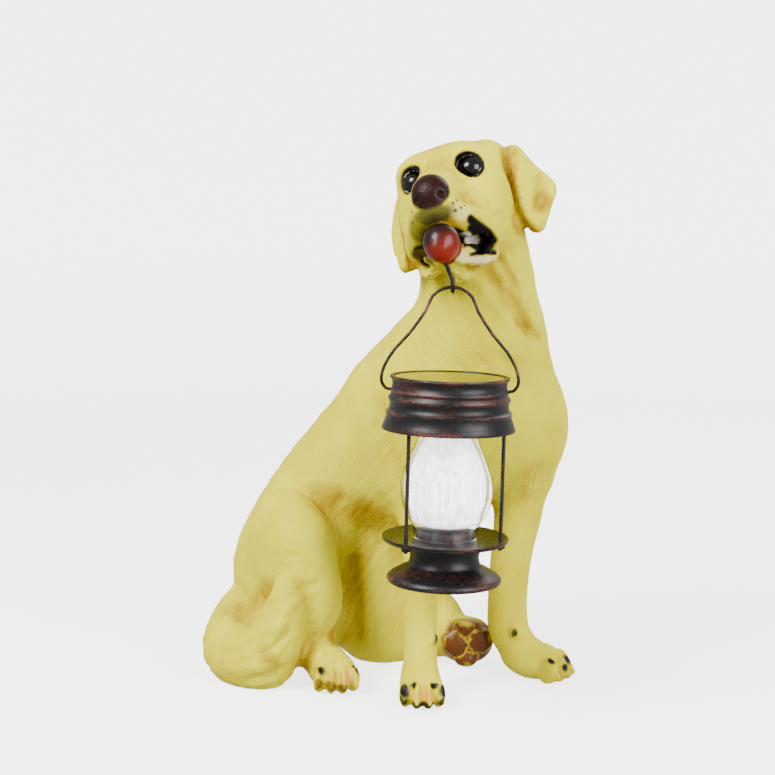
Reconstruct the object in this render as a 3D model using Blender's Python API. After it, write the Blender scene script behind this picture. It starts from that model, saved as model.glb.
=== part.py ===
import bpy
import bmesh
import math
import numpy as np
from mathutils import Matrix, Vector

# A sitting dog cast in resin that holds a small solar lantern from its tongue.
# The dog faces -Y and turns its head to its own right. Metres, +Z up.

# Figure. Its masses are laid out in units, 413 of them to the dog's height.
DOG_HEIGHT = 0.413
UNIT = DOG_HEIGHT / 413
FIGURE_GRID = 3.1
FIGURE_TRIANGLES = 4450
FAR = 60.0

HEAD_PLACE = (5.0, -42.0, 387.0)
HEAD_PITCH = -14.5
HEAD_ROLL = -16.0
HEAD_YAW = -58.5

# Lantern. Heights run up from its hinge pins, which set the swing axis.
LANTERN_TURN = math.radians(-45)
LANTERN_PLACE = (-26.0 * UNIT, -87.0 * UNIT)
APEX_HEIGHT = 307 * UNIT
BAIL_RISE = 0.0715
PIN_BELOW_TOP = 0.010
CAP_HEIGHT = 0.0372
SKIRT_RADIUS = 0.0468
SKIRT_FLARE = 0.0053
CAP_RADIUS = SKIRT_RADIUS - SKIRT_FLARE
CAP_WALL = 0.0024
LEDGE_RISE = 0.0042
PANEL_RECESS = 0.0018
PANEL_THICKNESS = 0.0009
PANEL_MARGIN = 0.0032
PANEL_RADIUS = CAP_RADIUS - PANEL_MARGIN
LAMP_RADIUS = 0.0175
ROD_RADIUS = 0.0015
ROD_INSET = 0.0075
ROD_CIRCLE = SKIRT_RADIUS - ROD_INSET
ROD_ANGLES = (-15, -135, -255)
ROD_TAIL = 0.0012
NUT_RADIUS = 0.0034
NUT_HEIGHT = 0.0026
FLANGE_DROP = 0.1135
FLANGE_LIP = 0.0050
FLANGE_RADIUS = ROD_CIRCLE + FLANGE_LIP
FLANGE_THICKNESS = 0.0022
WAIST_RADIUS = 0.0251
FOOT_RADIUS = 0.0402
FOOT_DROP = 0.0313
SOCKET_RADIUS = 0.0200
SOCKET_HEIGHT = 0.0075
GLASS_WALL = 0.0015
SOCKET_CLEARANCE = 0.0012
LAMP_CLEARANCE = 0.0009
GLASS_NECK_RADIUS = SOCKET_RADIUS + SOCKET_CLEARANCE + GLASS_WALL
GLASS_BULGE = 0.0100
GLASS_BELLY_RADIUS = GLASS_NECK_RADIUS + GLASS_BULGE
GLASS_TOP_RADIUS = LAMP_RADIUS + LAMP_CLEARANCE + GLASS_WALL
GLASS_IN_CAP = 0.0072
GLASS_HEIGHT = FLANGE_DROP - CAP_HEIGHT + GLASS_IN_CAP
BAIL_WIRE_RADIUS = 0.00115
BAIL_STAND_OFF = 0.0061
BAIL_HALF_WIDTH = CAP_RADIUS + BAIL_STAND_OFF
PIN_REACH = 0.0051
PIN_END = CAP_RADIUS - PIN_REACH
HOOK_ROD_RADIUS = 0.0015
HOOK_CURL = 0.0050
HOOK_DEPTH = 0.0085
GAP = 0.0003
HOLE_GAP = 0.0004
CUTTER_OVERSHOOT = 0.0020

ROUND_SIDES = 26
GLASS_SIDES = 24
WIRE_SIDES = 8


# Distance fields

def turn_matrix(turn):
    ax, ay, az = (math.radians(t) for t in turn)
    rx = np.array([[1, 0, 0], [0, math.cos(ax), -math.sin(ax)], [0, math.sin(ax), math.cos(ax)]])
    ry = np.array([[math.cos(ay), 0, math.sin(ay)], [0, 1, 0], [-math.sin(ay), 0, math.cos(ay)]])
    rz = np.array([[math.cos(az), -math.sin(az), 0], [math.sin(az), math.cos(az), 0], [0, 0, 1]])
    return rz @ ry @ rx


class Place:
    def __init__(self, origin=(0, 0, 0), turn=(0, 0, 0)):
        self.origin = np.array(origin, float)
        self.axes = turn_matrix(turn)

    def point(self, p):
        return self.origin + self.axes @ np.array(p, float)


def ellipsoid(p, center, radii, axes):
    q = (p - center) @ axes
    near = np.sqrt(((q / radii) ** 2).sum(-1))
    slope = np.sqrt(((q / (radii * radii)) ** 2).sum(-1))
    return near * (near - 1.0) / np.maximum(slope, 1e-9)


def tapered_rod(p, a, b, radius_a, radius_b):
    along = b - a
    t = np.clip(((p - a) @ along) / max(along @ along, 1e-9), 0, 1)
    d = p - a - t[..., None] * along
    return np.sqrt((d * d).sum(-1)) - (radius_a + (radius_b - radius_a) * t)


def smooth_rows(rows, steps):
    """Catmull-Rom curve through rows of any width."""
    rows = np.array(rows, float)
    ext = np.vstack([2 * rows[0] - rows[1], rows, 2 * rows[-1] - rows[-2]])
    out = []
    for i in range(1, len(ext) - 2):
        a, b, c, d = ext[i - 1], ext[i], ext[i + 1], ext[i + 2]
        for s in range(steps):
            t = s / steps
            bend = 2 * a - 5 * b + 4 * c - d
            twist = 3 * b - a - 3 * c + d
            out.append(0.5 * (2 * b + (c - a) * t + bend * t * t + twist * t ** 3))
    out.append(ext[-2])
    return np.array(out)


class Sculpt:
    """Masses added and carved one after another, each blended over a soft width."""

    def __init__(self):
        self.steps = []

    def ball(self, center, radii, turn=(0, 0, 0), soft=8, place=None, carve=False):
        place = place or Place()
        radii = np.array(radii, float)
        axes = place.axes @ turn_matrix(turn)
        c = place.point(center)
        reach = np.sqrt(((axes * radii) ** 2).sum(1))
        self.steps.append((carve, soft, c - reach, c + reach, lambda p: ellipsoid(p, c, radii, axes)))

    def limb(self, points, soft=8, place=None, carve=False, steps=6):
        place = place or Place()
        rows = smooth_rows([list(place.point(q[:3])) + [q[3]] for q in points], steps)
        lo = (rows[:, :3] - rows[:, 3:]).min(0)
        hi = (rows[:, :3] + rows[:, 3:]).max(0)

        def shape(p):
            best = None
            for u, v in zip(rows[:-1], rows[1:]):
                d = tapered_rod(p, u[:3], v[:3], u[3], v[3])
                best = d if best is None else np.minimum(best, d)
            return best

        self.steps.append((carve, soft, lo, hi, shape))


def blend(old, new, soft):
    h = np.maximum(soft - np.abs(old - new), 0.0) / soft
    return np.minimum(old, new) - h * h * soft * 0.25


def field_on_grid(sculpt, lo, hi, step):
    axes = [np.arange(a, b + step, step) for a, b in zip(lo, hi)]
    field = np.full([len(a) for a in axes], FAR)
    for carve, soft, low, high, shape in sculpt.steps:
        pad = soft + 3 * step
        cut = []
        for k in range(3):
            first = np.searchsorted(axes[k], low[k] - pad)
            last = np.searchsorted(axes[k], high[k] + pad)
            cut.append(slice(first, last))
        cut = tuple(cut)
        p = np.stack(np.meshgrid(*[axes[k][cut[k]] for k in range(3)], indexing="ij"), -1)
        d = shape(p)
        if carve:
            field[cut] = -blend(-field[cut], d, soft)
        else:
            field[cut] = blend(field[cut], d, soft)
    return axes, field


def keep_one_body(inside):
    """Fills sealed hollows, then keeps the piece that holds the middle of the trunk."""
    def spread(seed, allowed):
        while True:
            grown = seed.copy()
            for k in range(3):
                a = [slice(None)] * 3
                b = [slice(None)] * 3
                a[k] = slice(1, None)
                b[k] = slice(None, -1)
                grown[tuple(a)] |= seed[tuple(b)]
                grown[tuple(b)] |= seed[tuple(a)]
            grown &= allowed
            if (grown == seed).all():
                return seed
            seed = grown

    corner = np.zeros_like(inside)
    corner[0, 0, 0] = True
    solid = ~spread(corner, ~inside)
    x, y = inside.shape[0] // 2, inside.shape[1] // 2
    column = np.argwhere(solid[x, y])
    start = np.zeros_like(inside)
    start[x, y, column[len(column) // 2][0]] = True
    return spread(start, solid)


def close_pinches(inside):
    """Fills corners where two surfaces would meet at one edge or point."""
    for _ in range(30):
        fill = np.zeros_like(inside)
        for k in range(3):
            u, v = [m for m in range(3) if m != k]
            part = {}
            for i in (0, 1):
                for j in (0, 1):
                    cut = [slice(None)] * 3
                    cut[u] = slice(1, None) if i else slice(None, -1)
                    cut[v] = slice(1, None) if j else slice(None, -1)
                    part[i, j] = tuple(cut)
            one = inside[part[0, 0]] & inside[part[1, 1]] & ~inside[part[0, 1]] & ~inside[part[1, 0]]
            two = ~inside[part[0, 0]] & ~inside[part[1, 1]] & inside[part[0, 1]] & inside[part[1, 0]]
            for cut in part.values():
                fill[cut] |= one | two
        corners = [(a & 1, a >> 1 & 1, a >> 2 & 1) for a in range(8)]
        block = [tuple(slice(1, None) if e else slice(None, -1) for e in ends) for ends in corners]
        count = sum(inside[cut].astype(int) for cut in block)
        for a in range(4):
            one, two = inside[block[a]], inside[block[7 - a]]
            lone = (one & two & (count == 2)) | (~one & ~two & (count == 6))
            for cut in block:
                fill[cut] |= lone
        fill &= ~inside
        if not fill.any():
            break
        inside = inside | fill
    return inside


def surface_net(axes, field):
    """One point in each grid cell that the surface crosses, joined into four-sided faces."""
    inside = field < 0
    n = np.array(field.shape) - 1
    count = np.zeros(n, int)
    for i in (0, 1):
        for j in (0, 1):
            for k in (0, 1):
                count += inside[i:n[0] + i, j:n[1] + j, k:n[2] + k]
    cells = np.argwhere((count > 0) & (count < 8))
    index = np.full(n, -1)
    index[tuple(cells.T)] = np.arange(len(cells))
    total = np.zeros((len(cells), 3))
    hits = np.zeros(len(cells))
    for a in [np.array((i, j, k)) for i in (0, 1) for j in (0, 1) for k in (0, 1)]:
        for k in range(3):
            if a[k]:
                continue
            b = a.copy()
            b[k] = 1
            near = field[tuple((cells + a).T)]
            far = field[tuple((cells + b).T)]
            cross = (near < 0) != (far < 0)
            t = np.where(cross, near / np.where(cross, near - far, 1), 0)
            total[cross] += (a + (b - a) * t[:, None])[cross]
            hits[cross] += 1
    step = np.array([a[1] - a[0] for a in axes])
    low = np.array([a[0] for a in axes])
    points = low + (cells + total / hits[:, None]) * step
    faces = []
    for k in range(3):
        u, v = [m for m in range(3) if m != k]
        edge = np.argwhere(inside.take(range(n[k]), axis=k) != inside.take(range(1, n[k] + 1), axis=k))
        edge = edge[(edge[:, u] > 0) & (edge[:, v] > 0) & (edge[:, u] < n[u]) & (edge[:, v] < n[v])]
        out = inside[tuple(edge.T)]
        eu = np.eye(3, dtype=int)[u]
        ev = np.eye(3, dtype=int)[v]
        around = [edge - eu - ev, edge - ev, edge, edge - eu]
        quad = np.stack([index[tuple(c.T)] for c in around], 1)
        flip = out == (k == 1)
        quad[flip] = quad[flip][:, ::-1]
        faces.append(quad)
    return points, np.concatenate(faces)


# The dog's masses. A foreleg, thigh or paw on the dog's right has negative x.

def add_trunk(s):
    s.limb([(52, -7, 218, 51), (36, 35, 181, 52), (24, 68, 145, 50), (7, 89, 108, 48), (-6, 98, 74, 47),
            (-6, 91, 48, 44)], soft=10, steps=10)
    s.ball((80, -24, 200), (50, 48, 62), (14, 0, -30), soft=20)
    s.ball((56, 20, 168), (48, 58, 56), (38, 0, -28), soft=24)
    s.limb([(80, -28, 228, 50), (70, -33, 260, 49), (58, -38, 290, 45), (48, -42, 317, 42),
            (40, -41, 345, 39), (34, -33, 368, 34)], soft=20, steps=10)
    s.limb([(61, -29, 268, 43), (51, -3, 242, 45), (43, 18, 214, 48)], soft=18, steps=8)
    s.ball((92, -44, 206), (36, 32, 48), (0, 0, -30), soft=18)


def add_neck_folds(s):
    """Loose skin drawn back from the jaw by the turn of the head."""
    s.limb([(14, -78, 320, 2.5), (24, -79, 313, 4.5), (36, -83, 301, 5.5), (52, -85, 287, 4.5), (66, -84, 274, 2.5)],
           soft=7, carve=True)
    s.limb([(27, -81, 328, 2.0), (36, -84, 317, 3.5), (50, -86, 303, 2.5)], soft=5, carve=True)
    s.limb([(51, -84, 282, 2.0), (64, -84, 275, 3.0), (76, -83, 270, 2.0)], soft=5, carve=True)
    s.limb([(-10, 2, 216, 1.0), (-10, -8, 194, 3.0), (-6, -14, 172, 3.0), (3, -18, 152, 1.5)], soft=14, carve=True)


def add_toes(s, paw, radii, toes):
    """Toes spread across a paw's front, parted by grooves and each ending in a claw."""
    for k in range(toes):
        side = k - (toes - 1) / 2
        ahead = radii[1] * (0.84 - 0.10 * side * side)
        x = side * radii[0] * 0.50
        s.ball((x, -ahead, -radii[2] * 0.20), (radii[0] * 0.30, radii[1] * 0.38, radii[2] * 0.74), (0, 0, side * 8),
               soft=2.5, place=paw)
        s.ball((x + side * 1.2, -ahead - radii[1] * 0.34, -radii[2] * 0.42),
               (radii[0] * 0.11, radii[1] * 0.17, radii[2] * 0.24), (0, 0, side * 12), soft=1.5, place=paw)
    for k in range(toes - 1):
        x = (k - (toes - 2) / 2) * radii[0] * 0.50
        s.limb([(x * 0.8, -radii[1] * 0.2, radii[2] * 1.3, 1.2), (x * 0.95, -radii[1] * 0.75, radii[2] * 0.85, 2.0),
                (x * 1.1, -radii[1] * 1.15, -radii[2] * 0.1, 1.8)], soft=3, place=paw, carve=True)


def add_paw(s, center, radii, turn):
    s.ball(center, radii, (0, 0, turn), soft=8)
    add_toes(s, Place(center, (0, 0, turn)), radii, 4)


def add_forelegs(s):
    s.ball((34, -8, 186), (26, 28, 44), (10, 0, -20), soft=16)
    s.limb([(28, -10, 150, 22), (20, -20, 120, 16), (15, -26, 92, 13.5), (11, -30, 62, 12.5), (8, -34, 38, 12.5),
            (1, -41, 22, 13)], soft=14)
    add_paw(s, (-7, -50, 12), (16, 20, 13.5), -42)
    s.ball((112, -46, 188), (26, 30, 44), (8, 0, 10), soft=16)
    s.limb([(108, -44, 150, 22), (103, -44, 118, 18), (99, -43, 90, 16), (98, -42, 60, 15.5), (98, -44, 36, 16),
            (100, -52, 22, 15)], soft=14)
    add_paw(s, (105, -66, 13), (18, 24, 14.5), 22)
    for spot in ((9, -47, 43), (87, -59, 37)):
        s.ball(spot, (3, 3, 4.5), soft=3)


def add_haunches(s):
    s.limb([(44, 34, 122, 32), (48, 38, 92, 33), (52, 44, 60, 35), (52, 50, 30, 34)], soft=16)
    s.ball((52, 58, 46), (40, 44, 50), soft=16)
    s.ball((78, 34, 30), (30, 40, 32), soft=14)
    s.ball((-30, 70, 94), (30, 45, 50), (-20, 0, -12), soft=5)
    s.ball((-34, 48, 66), (22, 33, 36), soft=10)
    s.limb([(-34, 44, 52, 22), (-34, 40, 30, 18), (-37, 22, 18, 14)], soft=8)
    add_paw(s, (-34, 16, 13), (17, 20, 14), -34)
    for x, y, lean in ((2, 4, -4), (16, 0, 2), (30, -6, 5)):
        s.limb([(x, y + 2, 104, 1.5), (x + lean, y, 74, 3.5), (x + lean * 1.4, y + 3, 44, 3.5), (x + lean, y + 8, 18, 2)],
               soft=8, carve=True)


def add_sole(s):
    """The left hind foot lies on its side, so its pads show between the forelegs."""
    s.limb([(88, 34, 22, 18), (92, 14, 19, 16), (86, -2, 19, 16)], soft=10)
    foot = Place((88, -11, 20), (0, 0, -45))
    s.ball((0, 0, 0), (20, 14, 19), soft=6, place=foot)
    for x, z, width, height in ((-3, 13, 8, 6), (-11, -1, 8.5, 9.5), (8, 2, 11, 10), (-2, -13, 9, 6.5)):
        s.ball((x, -9, z), (width, 6, height), soft=3, place=foot)


def add_tail(s):
    s.limb([(-19, 116, 55, 15), (-45, 113, 42, 18), (-65, 100, 22, 23), (-72, 75, 17, 25), (-68, 54, 22, 25),
            (-64, 43, 44, 20), (-62, 40, 61, 16.5), (-60, 41, 76, 11)], soft=6, steps=6)
    s.ball((-44, 80, 30), (20, 30, 26), soft=8)


def add_head(s, head):
    s.ball((3, 27, -2), (35, 38, 29), soft=10, place=head)
    s.ball((0, 46, -8), (32, 30, 28), soft=14, place=head)
    s.ball((33, 28, 6), (15, 20, 17), soft=14, place=head)
    s.ball((-19, 28, 0), (13, 20, 16), soft=12, place=head)
    s.ball((30, 22, -26), (18, 26, 30), soft=14, place=head)
    s.limb([(0, 4, -11, 19), (0, -20, -22, 17.5), (0, -38, -28, 15)], soft=14, place=head)
    s.limb([(0, -30, -74, 6), (0, -16, -75, 8.5), (0, 6, -71, 13), (0, 30, -60, 20)], soft=8, place=head)
    for m in (-1, 1):
        s.ball((m * 17, 4, 5), (15, 14, 12), soft=12, place=head)
        s.ball((m * 21, 16, -30), (17, 28, 28), soft=16, place=head)
        s.limb([(m * 7, -42, -42, 9.5), (m * 12, -33, -46, 10.5), (m * 17.5, -17, -48, 12), (m * 22, 2, -52, 13)],
               soft=9, place=head)
        s.limb([(m * 6, -33, -73, 4.5), (m * 12, -19, -74, 5), (m * 19, -5, -73, 5), (m * 24, 6, -67, 6)],
               soft=6, place=head)


def add_mouth(s, head):
    s.ball((0, -28, -64), (16, 27, 9), (-4, 0, 0), soft=3, place=head, carve=True)
    for m in (-1, 1):
        s.ball((m * 18, -13, -62), (11, 17, 6.5), (34, 0, 0), soft=3, place=head, carve=True)
    s.limb([(0, -6, -67, 9), (1, -28, -66, 10.5), (1.5, -42, -66, 11.5)], soft=3, place=head)
    s.ball((1.8, -49, -66), (12.8, 12.5, 12.8), soft=3, place=head)
    s.ball((0, -51, -73), (8.5, 9, 8.5), soft=5, place=head)
    for m in (-1, 1):
        s.limb([(m * 11, -34, -70, 3), (m * 14.5, -25, -68, 3.5), (m * 17.5, -15, -66, 3)], soft=3, place=head)


def add_nose_and_eyes(s, head):
    s.ball((0.5, -47, -30), (13.3, 11, 13), soft=2.5, place=head)
    s.ball((0, -47, -41), (7, 7, 7), soft=4, place=head)
    for m in (-1, 1):
        s.ball((m * 9.5, -55.5, -35), (3, 4, 2), (0, m * 25, 0), soft=1.5, place=head, carve=True)
    for x in (23.3, -18.5):
        s.ball((x, -8, -3.5), (10.5, 6.5, 10), soft=4, place=head, carve=True)
        s.ball((x, -0.5, -3.5), (9.5, 9, 9), soft=1, place=head)


def add_flap(s, front, back, strips, soft, head):
    """A thin ear, fanned between its front and rear edges."""
    front = np.array(front, float)
    back = np.array(back, float)
    for k in range(strips):
        t = k / (strips - 1)
        s.limb([tuple(row) for row in front * (1 - t) + back * t], soft=soft, place=head)


def add_ears(s, head):
    front = [(50, 27, 9, 5), (51, 25, -5, 5), (51, 25, -24, 5), (52, 27, -40, 5), (55, 31, -47, 4)]
    back = [(51, 33, 10, 5), (60, 37, -3, 4.5), (71, 42, -18, 4), (65, 38, -33, 4), (58, 33, -46, 4)]
    add_flap(s, front, back, 6, 4, head)
    s.limb([(x - 1, y - 2, z, 4.0) for x, y, z, _ in front], soft=2, place=head)
    s.limb([(46, 18, 9, 2), (44.5, 16, -6, 3.5), (44, 16, -24, 4), (45, 19, -40, 4), (51, 29, -53, 3)],
           soft=4, place=head, carve=True)
    s.limb([(67, 34, -14, 1), (65, 31, -26, 2.5), (61, 28, -37, 1)], soft=8, place=head, carve=True)
    add_flap(s, [(-23, 14, 2, 6), (-25, 11, -14, 6), (-26, 9, -36, 5.5), (-27, 10, -55, 4.5)],
             [(-26, 26, 3, 6), (-37, 24, -12, 6), (-44, 22, -34, 5.5), (-42, 17, -57, 4.5)], 4, 6, head)
    s.limb([(-32, 12, -4, 1.5), (-34, 9, -22, 3), (-34, 8, -44, 3), (-35, 9, -62, 2)], soft=4, place=head, carve=True)


def dog_sculpt():
    s = Sculpt()
    head = Place(HEAD_PLACE, (HEAD_PITCH, HEAD_ROLL, HEAD_YAW))
    add_trunk(s)
    add_neck_folds(s)
    add_haunches(s)
    add_forelegs(s)
    add_sole(s)
    add_tail(s)
    add_head(s, head)
    add_mouth(s, head)
    add_nose_and_eyes(s, head)
    add_ears(s, head)
    return s


# Building blocks

def paint(name, color, roughness, metallic):
    material = bpy.data.materials.new(name)
    material.use_nodes = True
    shader = material.node_tree.nodes["Principled BSDF"]
    shader.inputs["Base Color"].default_value = (*color, 1)
    shader.inputs["Roughness"].default_value = roughness
    shader.inputs["Metallic"].default_value = metallic
    material.diffuse_color = (*color, 1)
    return material


def add_object(name, bm, material, place=None):
    bmesh.ops.recalc_face_normals(bm, faces=bm.faces)
    mesh = bpy.data.meshes.new(name)
    bm.to_mesh(mesh)
    bm.free()
    mesh.materials.append(material)
    mesh.shade_smooth()
    mesh.set_sharp_from_angle(angle=math.radians(35))
    obj = bpy.data.objects.new(name, mesh)
    bpy.context.scene.collection.objects.link(obj)
    if place is not None:
        obj.matrix_world = place
    return obj


def turned(profile, sides):
    """A closed profile of radius and height, turned about Z. Radius 0 closes on the axis."""
    bm = bmesh.new()
    rings = []
    for radius, height in profile:
        if radius < 1e-6:
            rings.append([bm.verts.new((0, 0, height))])
            continue
        ring = []
        for k in range(sides):
            a = 2 * math.pi * k / sides
            ring.append(bm.verts.new((radius * math.cos(a), radius * math.sin(a), height)))
        rings.append(ring)
    closed = len(rings[0]) > 1
    pairs = list(zip(rings[:-1], rings[1:]))
    if closed:
        pairs.append((rings[-1], rings[0]))
    for one, two in pairs:
        for k in range(sides):
            j = (k + 1) % sides
            corners = [one[k % len(one)], one[j % len(one)], two[j % len(two)], two[k % len(two)]]
            face = []
            for v in corners:
                if v not in face:
                    face.append(v)
            bm.faces.new(face)
    return bm


def tube(points, radius, sides, first_side):
    """A round wire along points, with flat ends. first_side is a direction across its start."""
    bm = bmesh.new()
    points = [Vector(p) for p in points]
    side = Vector(first_side)
    rings = []
    for i, p in enumerate(points):
        before = points[max(i - 1, 0)]
        after = points[min(i + 1, len(points) - 1)]
        along = (after - before).normalized()
        side = (side - along * side.dot(along)).normalized()
        up = along.cross(side)
        ring = []
        for k in range(sides):
            a = 2 * math.pi * (k + 0.5) / sides
            ring.append(bm.verts.new(p + (side * math.cos(a) + up * math.sin(a)) * radius))
        rings.append(ring)
    for one, two in zip(rings[:-1], rings[1:]):
        for k in range(sides):
            j = (k + 1) % sides
            bm.faces.new((one[k], one[j], two[j], two[k]))
    bm.faces.new(rings[0])
    bm.faces.new(rings[-1])
    return bm


def cut_with(obj, name, cutter_bm, place):
    cutter = add_object(name, cutter_bm, obj.data.materials[0], place)
    cutter.hide_render = True
    cutter.display_type = "WIRE"
    hole = obj.modifiers.new(name, "BOOLEAN")
    hole.operation = "DIFFERENCE"
    hole.solver = "EXACT"
    hole.object = cutter
    return cutter


# Pieces

def build_dog(material):
    s = dog_sculpt()
    added = [step for step in s.steps if not step[0]]
    lo = np.min([step[2] for step in added], 0) - 3 * FIGURE_GRID
    hi = np.max([step[3] for step in added], 0) + 3 * FIGURE_GRID
    lo[2] = -4 * FIGURE_GRID
    axes, field = field_on_grid(s, lo, hi, FIGURE_GRID)
    below = np.meshgrid(*axes, indexing="ij")[2]
    field = np.maximum(field, -1.6 * FIGURE_GRID - below)
    inside = close_pinches(keep_one_body(field < 0))
    small = 0.15 * FIGURE_GRID
    field = np.where(inside, np.minimum(field, -small), np.maximum(field, small))
    points, faces = surface_net(axes, field)
    mesh = bpy.data.meshes.new("dog_rough")
    mesh.from_pydata((points * UNIT).tolist(), [], faces.tolist())
    mesh.validate()
    rough = bpy.data.objects.new("dog_rough", mesh)
    bpy.context.scene.collection.objects.link(rough)
    thin = rough.modifiers.new("thin", "DECIMATE")
    thin.ratio = FIGURE_TRIANGLES / (2 * len(faces))
    graph = bpy.context.evaluated_depsgraph_get()
    bm = bmesh.new()
    bm.from_object(rough, graph)
    bpy.data.objects.remove(rough)
    bpy.data.meshes.remove(mesh)
    bmesh.ops.bisect_plane(bm, geom=bm.verts[:] + bm.edges[:] + bm.faces[:], dist=1e-6,
                           plane_co=(0, 0, 0), plane_no=(0, 0, 1), clear_inner=True)
    rim = [e for e in bm.edges if e.is_boundary]
    for e in rim:
        for v in e.verts:
            v.co.z = 0
    bmesh.ops.triangle_fill(bm, edges=rim, use_beauty=True)
    bmesh.ops.triangulate(bm, faces=bm.faces)
    return add_object("dog", bm, material)


def cap_profile():
    top = PIN_BELOW_TOP
    r = CAP_RADIUS
    rings = [(r - 0.0031, -PANEL_RECESS), (r - 0.0027, 0), (r, 0), (r + 0.0003, -0.0012), (r - 0.0011, -0.0028),
             (r - 0.0016, -0.0055), (r - 0.0012, -0.0086), (r - 0.0002, -0.0097), (r - 0.0002, -0.0109),
             (r - 0.0008, -0.0122), (r + 0.0011, -0.0150), (r + 0.0011, -0.0161), (r + 0.0002, -0.0174),
             (r, -0.0205), (r + 0.0006, -0.0232), (r + 0.0025, -0.0246), (r + 0.0025, -0.0257),
             (r + 0.0019, -0.0270), (SKIRT_RADIUS - 0.0014, -0.0330), (SKIRT_RADIUS, -CAP_HEIGHT + 0.0008),
             (SKIRT_RADIUS - 0.0004, -CAP_HEIGHT)]
    ledge = -CAP_HEIGHT + LEDGE_RISE
    roof = -PANEL_RECESS - CAP_WALL
    inner = [(SKIRT_RADIUS - CAP_WALL, -CAP_HEIGHT), (SKIRT_RADIUS - CAP_WALL - 0.0014, ledge),
             (ROD_CIRCLE - 0.0033, ledge), (ROD_CIRCLE - 0.0033, ledge + CAP_WALL),
             (r - 0.0026, ledge + 0.0045), (r - 0.0040, -0.0130), (r - 0.0040, roof),
             (LAMP_RADIUS, roof), (LAMP_RADIUS, ledge), (0, ledge)]
    return [(radius, height + top) for radius, height in [(0, -PANEL_RECESS)] + rings + inner]


def base_profile():
    r = FLANGE_RADIUS
    t = FLANGE_THICKNESS
    foot = FOOT_RADIUS
    rings = [(0, SOCKET_HEIGHT), (SOCKET_RADIUS - 0.0012, SOCKET_HEIGHT), (SOCKET_RADIUS, SOCKET_HEIGHT - 0.0012),
             (SOCKET_RADIUS, 0), (r - 0.0040, 0), (r - 0.0012, 0.0010), (r, 0.0008), (r + 0.0002, -0.0006),
             (r - 0.0008, -t), (r - 0.0100, -t), (WAIST_RADIUS + 0.0046, -0.0040), (WAIST_RADIUS + 0.0006, -0.0056),
             (WAIST_RADIUS, -0.0085), (WAIST_RADIUS - 0.0010, -0.0135), (WAIST_RADIUS, -0.0180),
             (WAIST_RADIUS + 0.0016, -0.0200), (WAIST_RADIUS + 0.0070, -0.0226), (foot - 0.0022, -0.0260),
             (foot, -0.0283), (foot, -0.0298), (foot - 0.0008, -FOOT_DROP), (foot - 0.0030, -FOOT_DROP),
             (foot - 0.0040, -FOOT_DROP + 0.0018), (0, -FOOT_DROP + 0.0018)]
    return [(radius, height + PIN_BELOW_TOP - FLANGE_DROP) for radius, height in rings]


def glass_profile():
    belly = GLASS_BELLY_RADIUS
    neck = GLASS_NECK_RADIUS
    top = GLASS_TOP_RADIUS
    outer = [(neck, 0.0), (neck + 0.0001, 0.078), (neck + 0.0013, 0.114), (belly - 0.0051, 0.180),
             (belly - 0.0019, 0.269), (belly - 0.0003, 0.359), (belly, 0.431), (belly - 0.0011, 0.515),
             (belly - 0.0035, 0.605), (belly - 0.0067, 0.701), (top + 0.0033, 0.778), (top + 0.0011, 0.850),
             (top, 0.922), (top, 1.0)]
    inner = [(radius - GLASS_WALL, share) for radius, share in [outer[0]] + outer[1::2]]
    inner.reverse()
    foot = PIN_BELOW_TOP - FLANGE_DROP + GAP
    return [(radius, foot + share * (GLASS_HEIGHT - GAP)) for radius, share in outer + inner]


def bail_route():
    """The wire from pin to pin in the lantern's upright plane, as shares of its half width and rise."""
    half = [(0, 1), (0.14, 0.983), (0.29, 0.909), (0.38, 0.769), (0.60, 0.552), (0.82, 0.385), (0.955, 0.231),
            (1, 0.119), (0.985, 0.052), (0.93, 0.007)]
    rows = smooth_rows([(x * BAIL_HALF_WIDTH, 0, z * BAIL_RISE) for x, z in half], 2)
    right = [tuple(p) for p in rows] + [(0.88 * BAIL_HALF_WIDTH, 0, 0), (PIN_END, 0, 0)]
    left = [(-x, y, z) for x, y, z in right[:0:-1]]
    return left + right


def hook_route():
    """From the free tip, round under the bail's top, and up at a slant into the tongue."""
    low = BAIL_RISE - BAIL_WIRE_RADIUS - GAP - HOOK_ROD_RADIUS
    middle = low + HOOK_CURL
    points = [(0, HOOK_CURL + 0.0006, middle + 0.0042), (0, HOOK_CURL, middle + 0.0016)]
    for k in range(9):
        a = math.pi * k / 8
        points.append((0, HOOK_CURL * math.cos(a), middle - HOOK_CURL * math.sin(a)))
    points += [(-0.0012, -HOOK_CURL + 0.0004, middle + 0.0045), (-0.0034, -0.0032, middle + 0.0095),
               (-0.0056, -0.0012, middle + 0.0150), (-0.0076, 0.0002, middle + 0.0150 + HOOK_DEPTH)]
    return points


def middle_of(objects):
    """The middle of the finished statue, seen from above."""
    graph = bpy.context.evaluated_depsgraph_get()
    spots = []
    for obj in objects:
        shape = obj.evaluated_get(graph)
        spots += [shape.matrix_world @ v.co for v in shape.data.vertices]
    x = [p.x for p in spots]
    y = [p.y for p in spots]
    return Vector(((min(x) + max(x)) / 2, (min(y) + max(y)) / 2))


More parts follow.
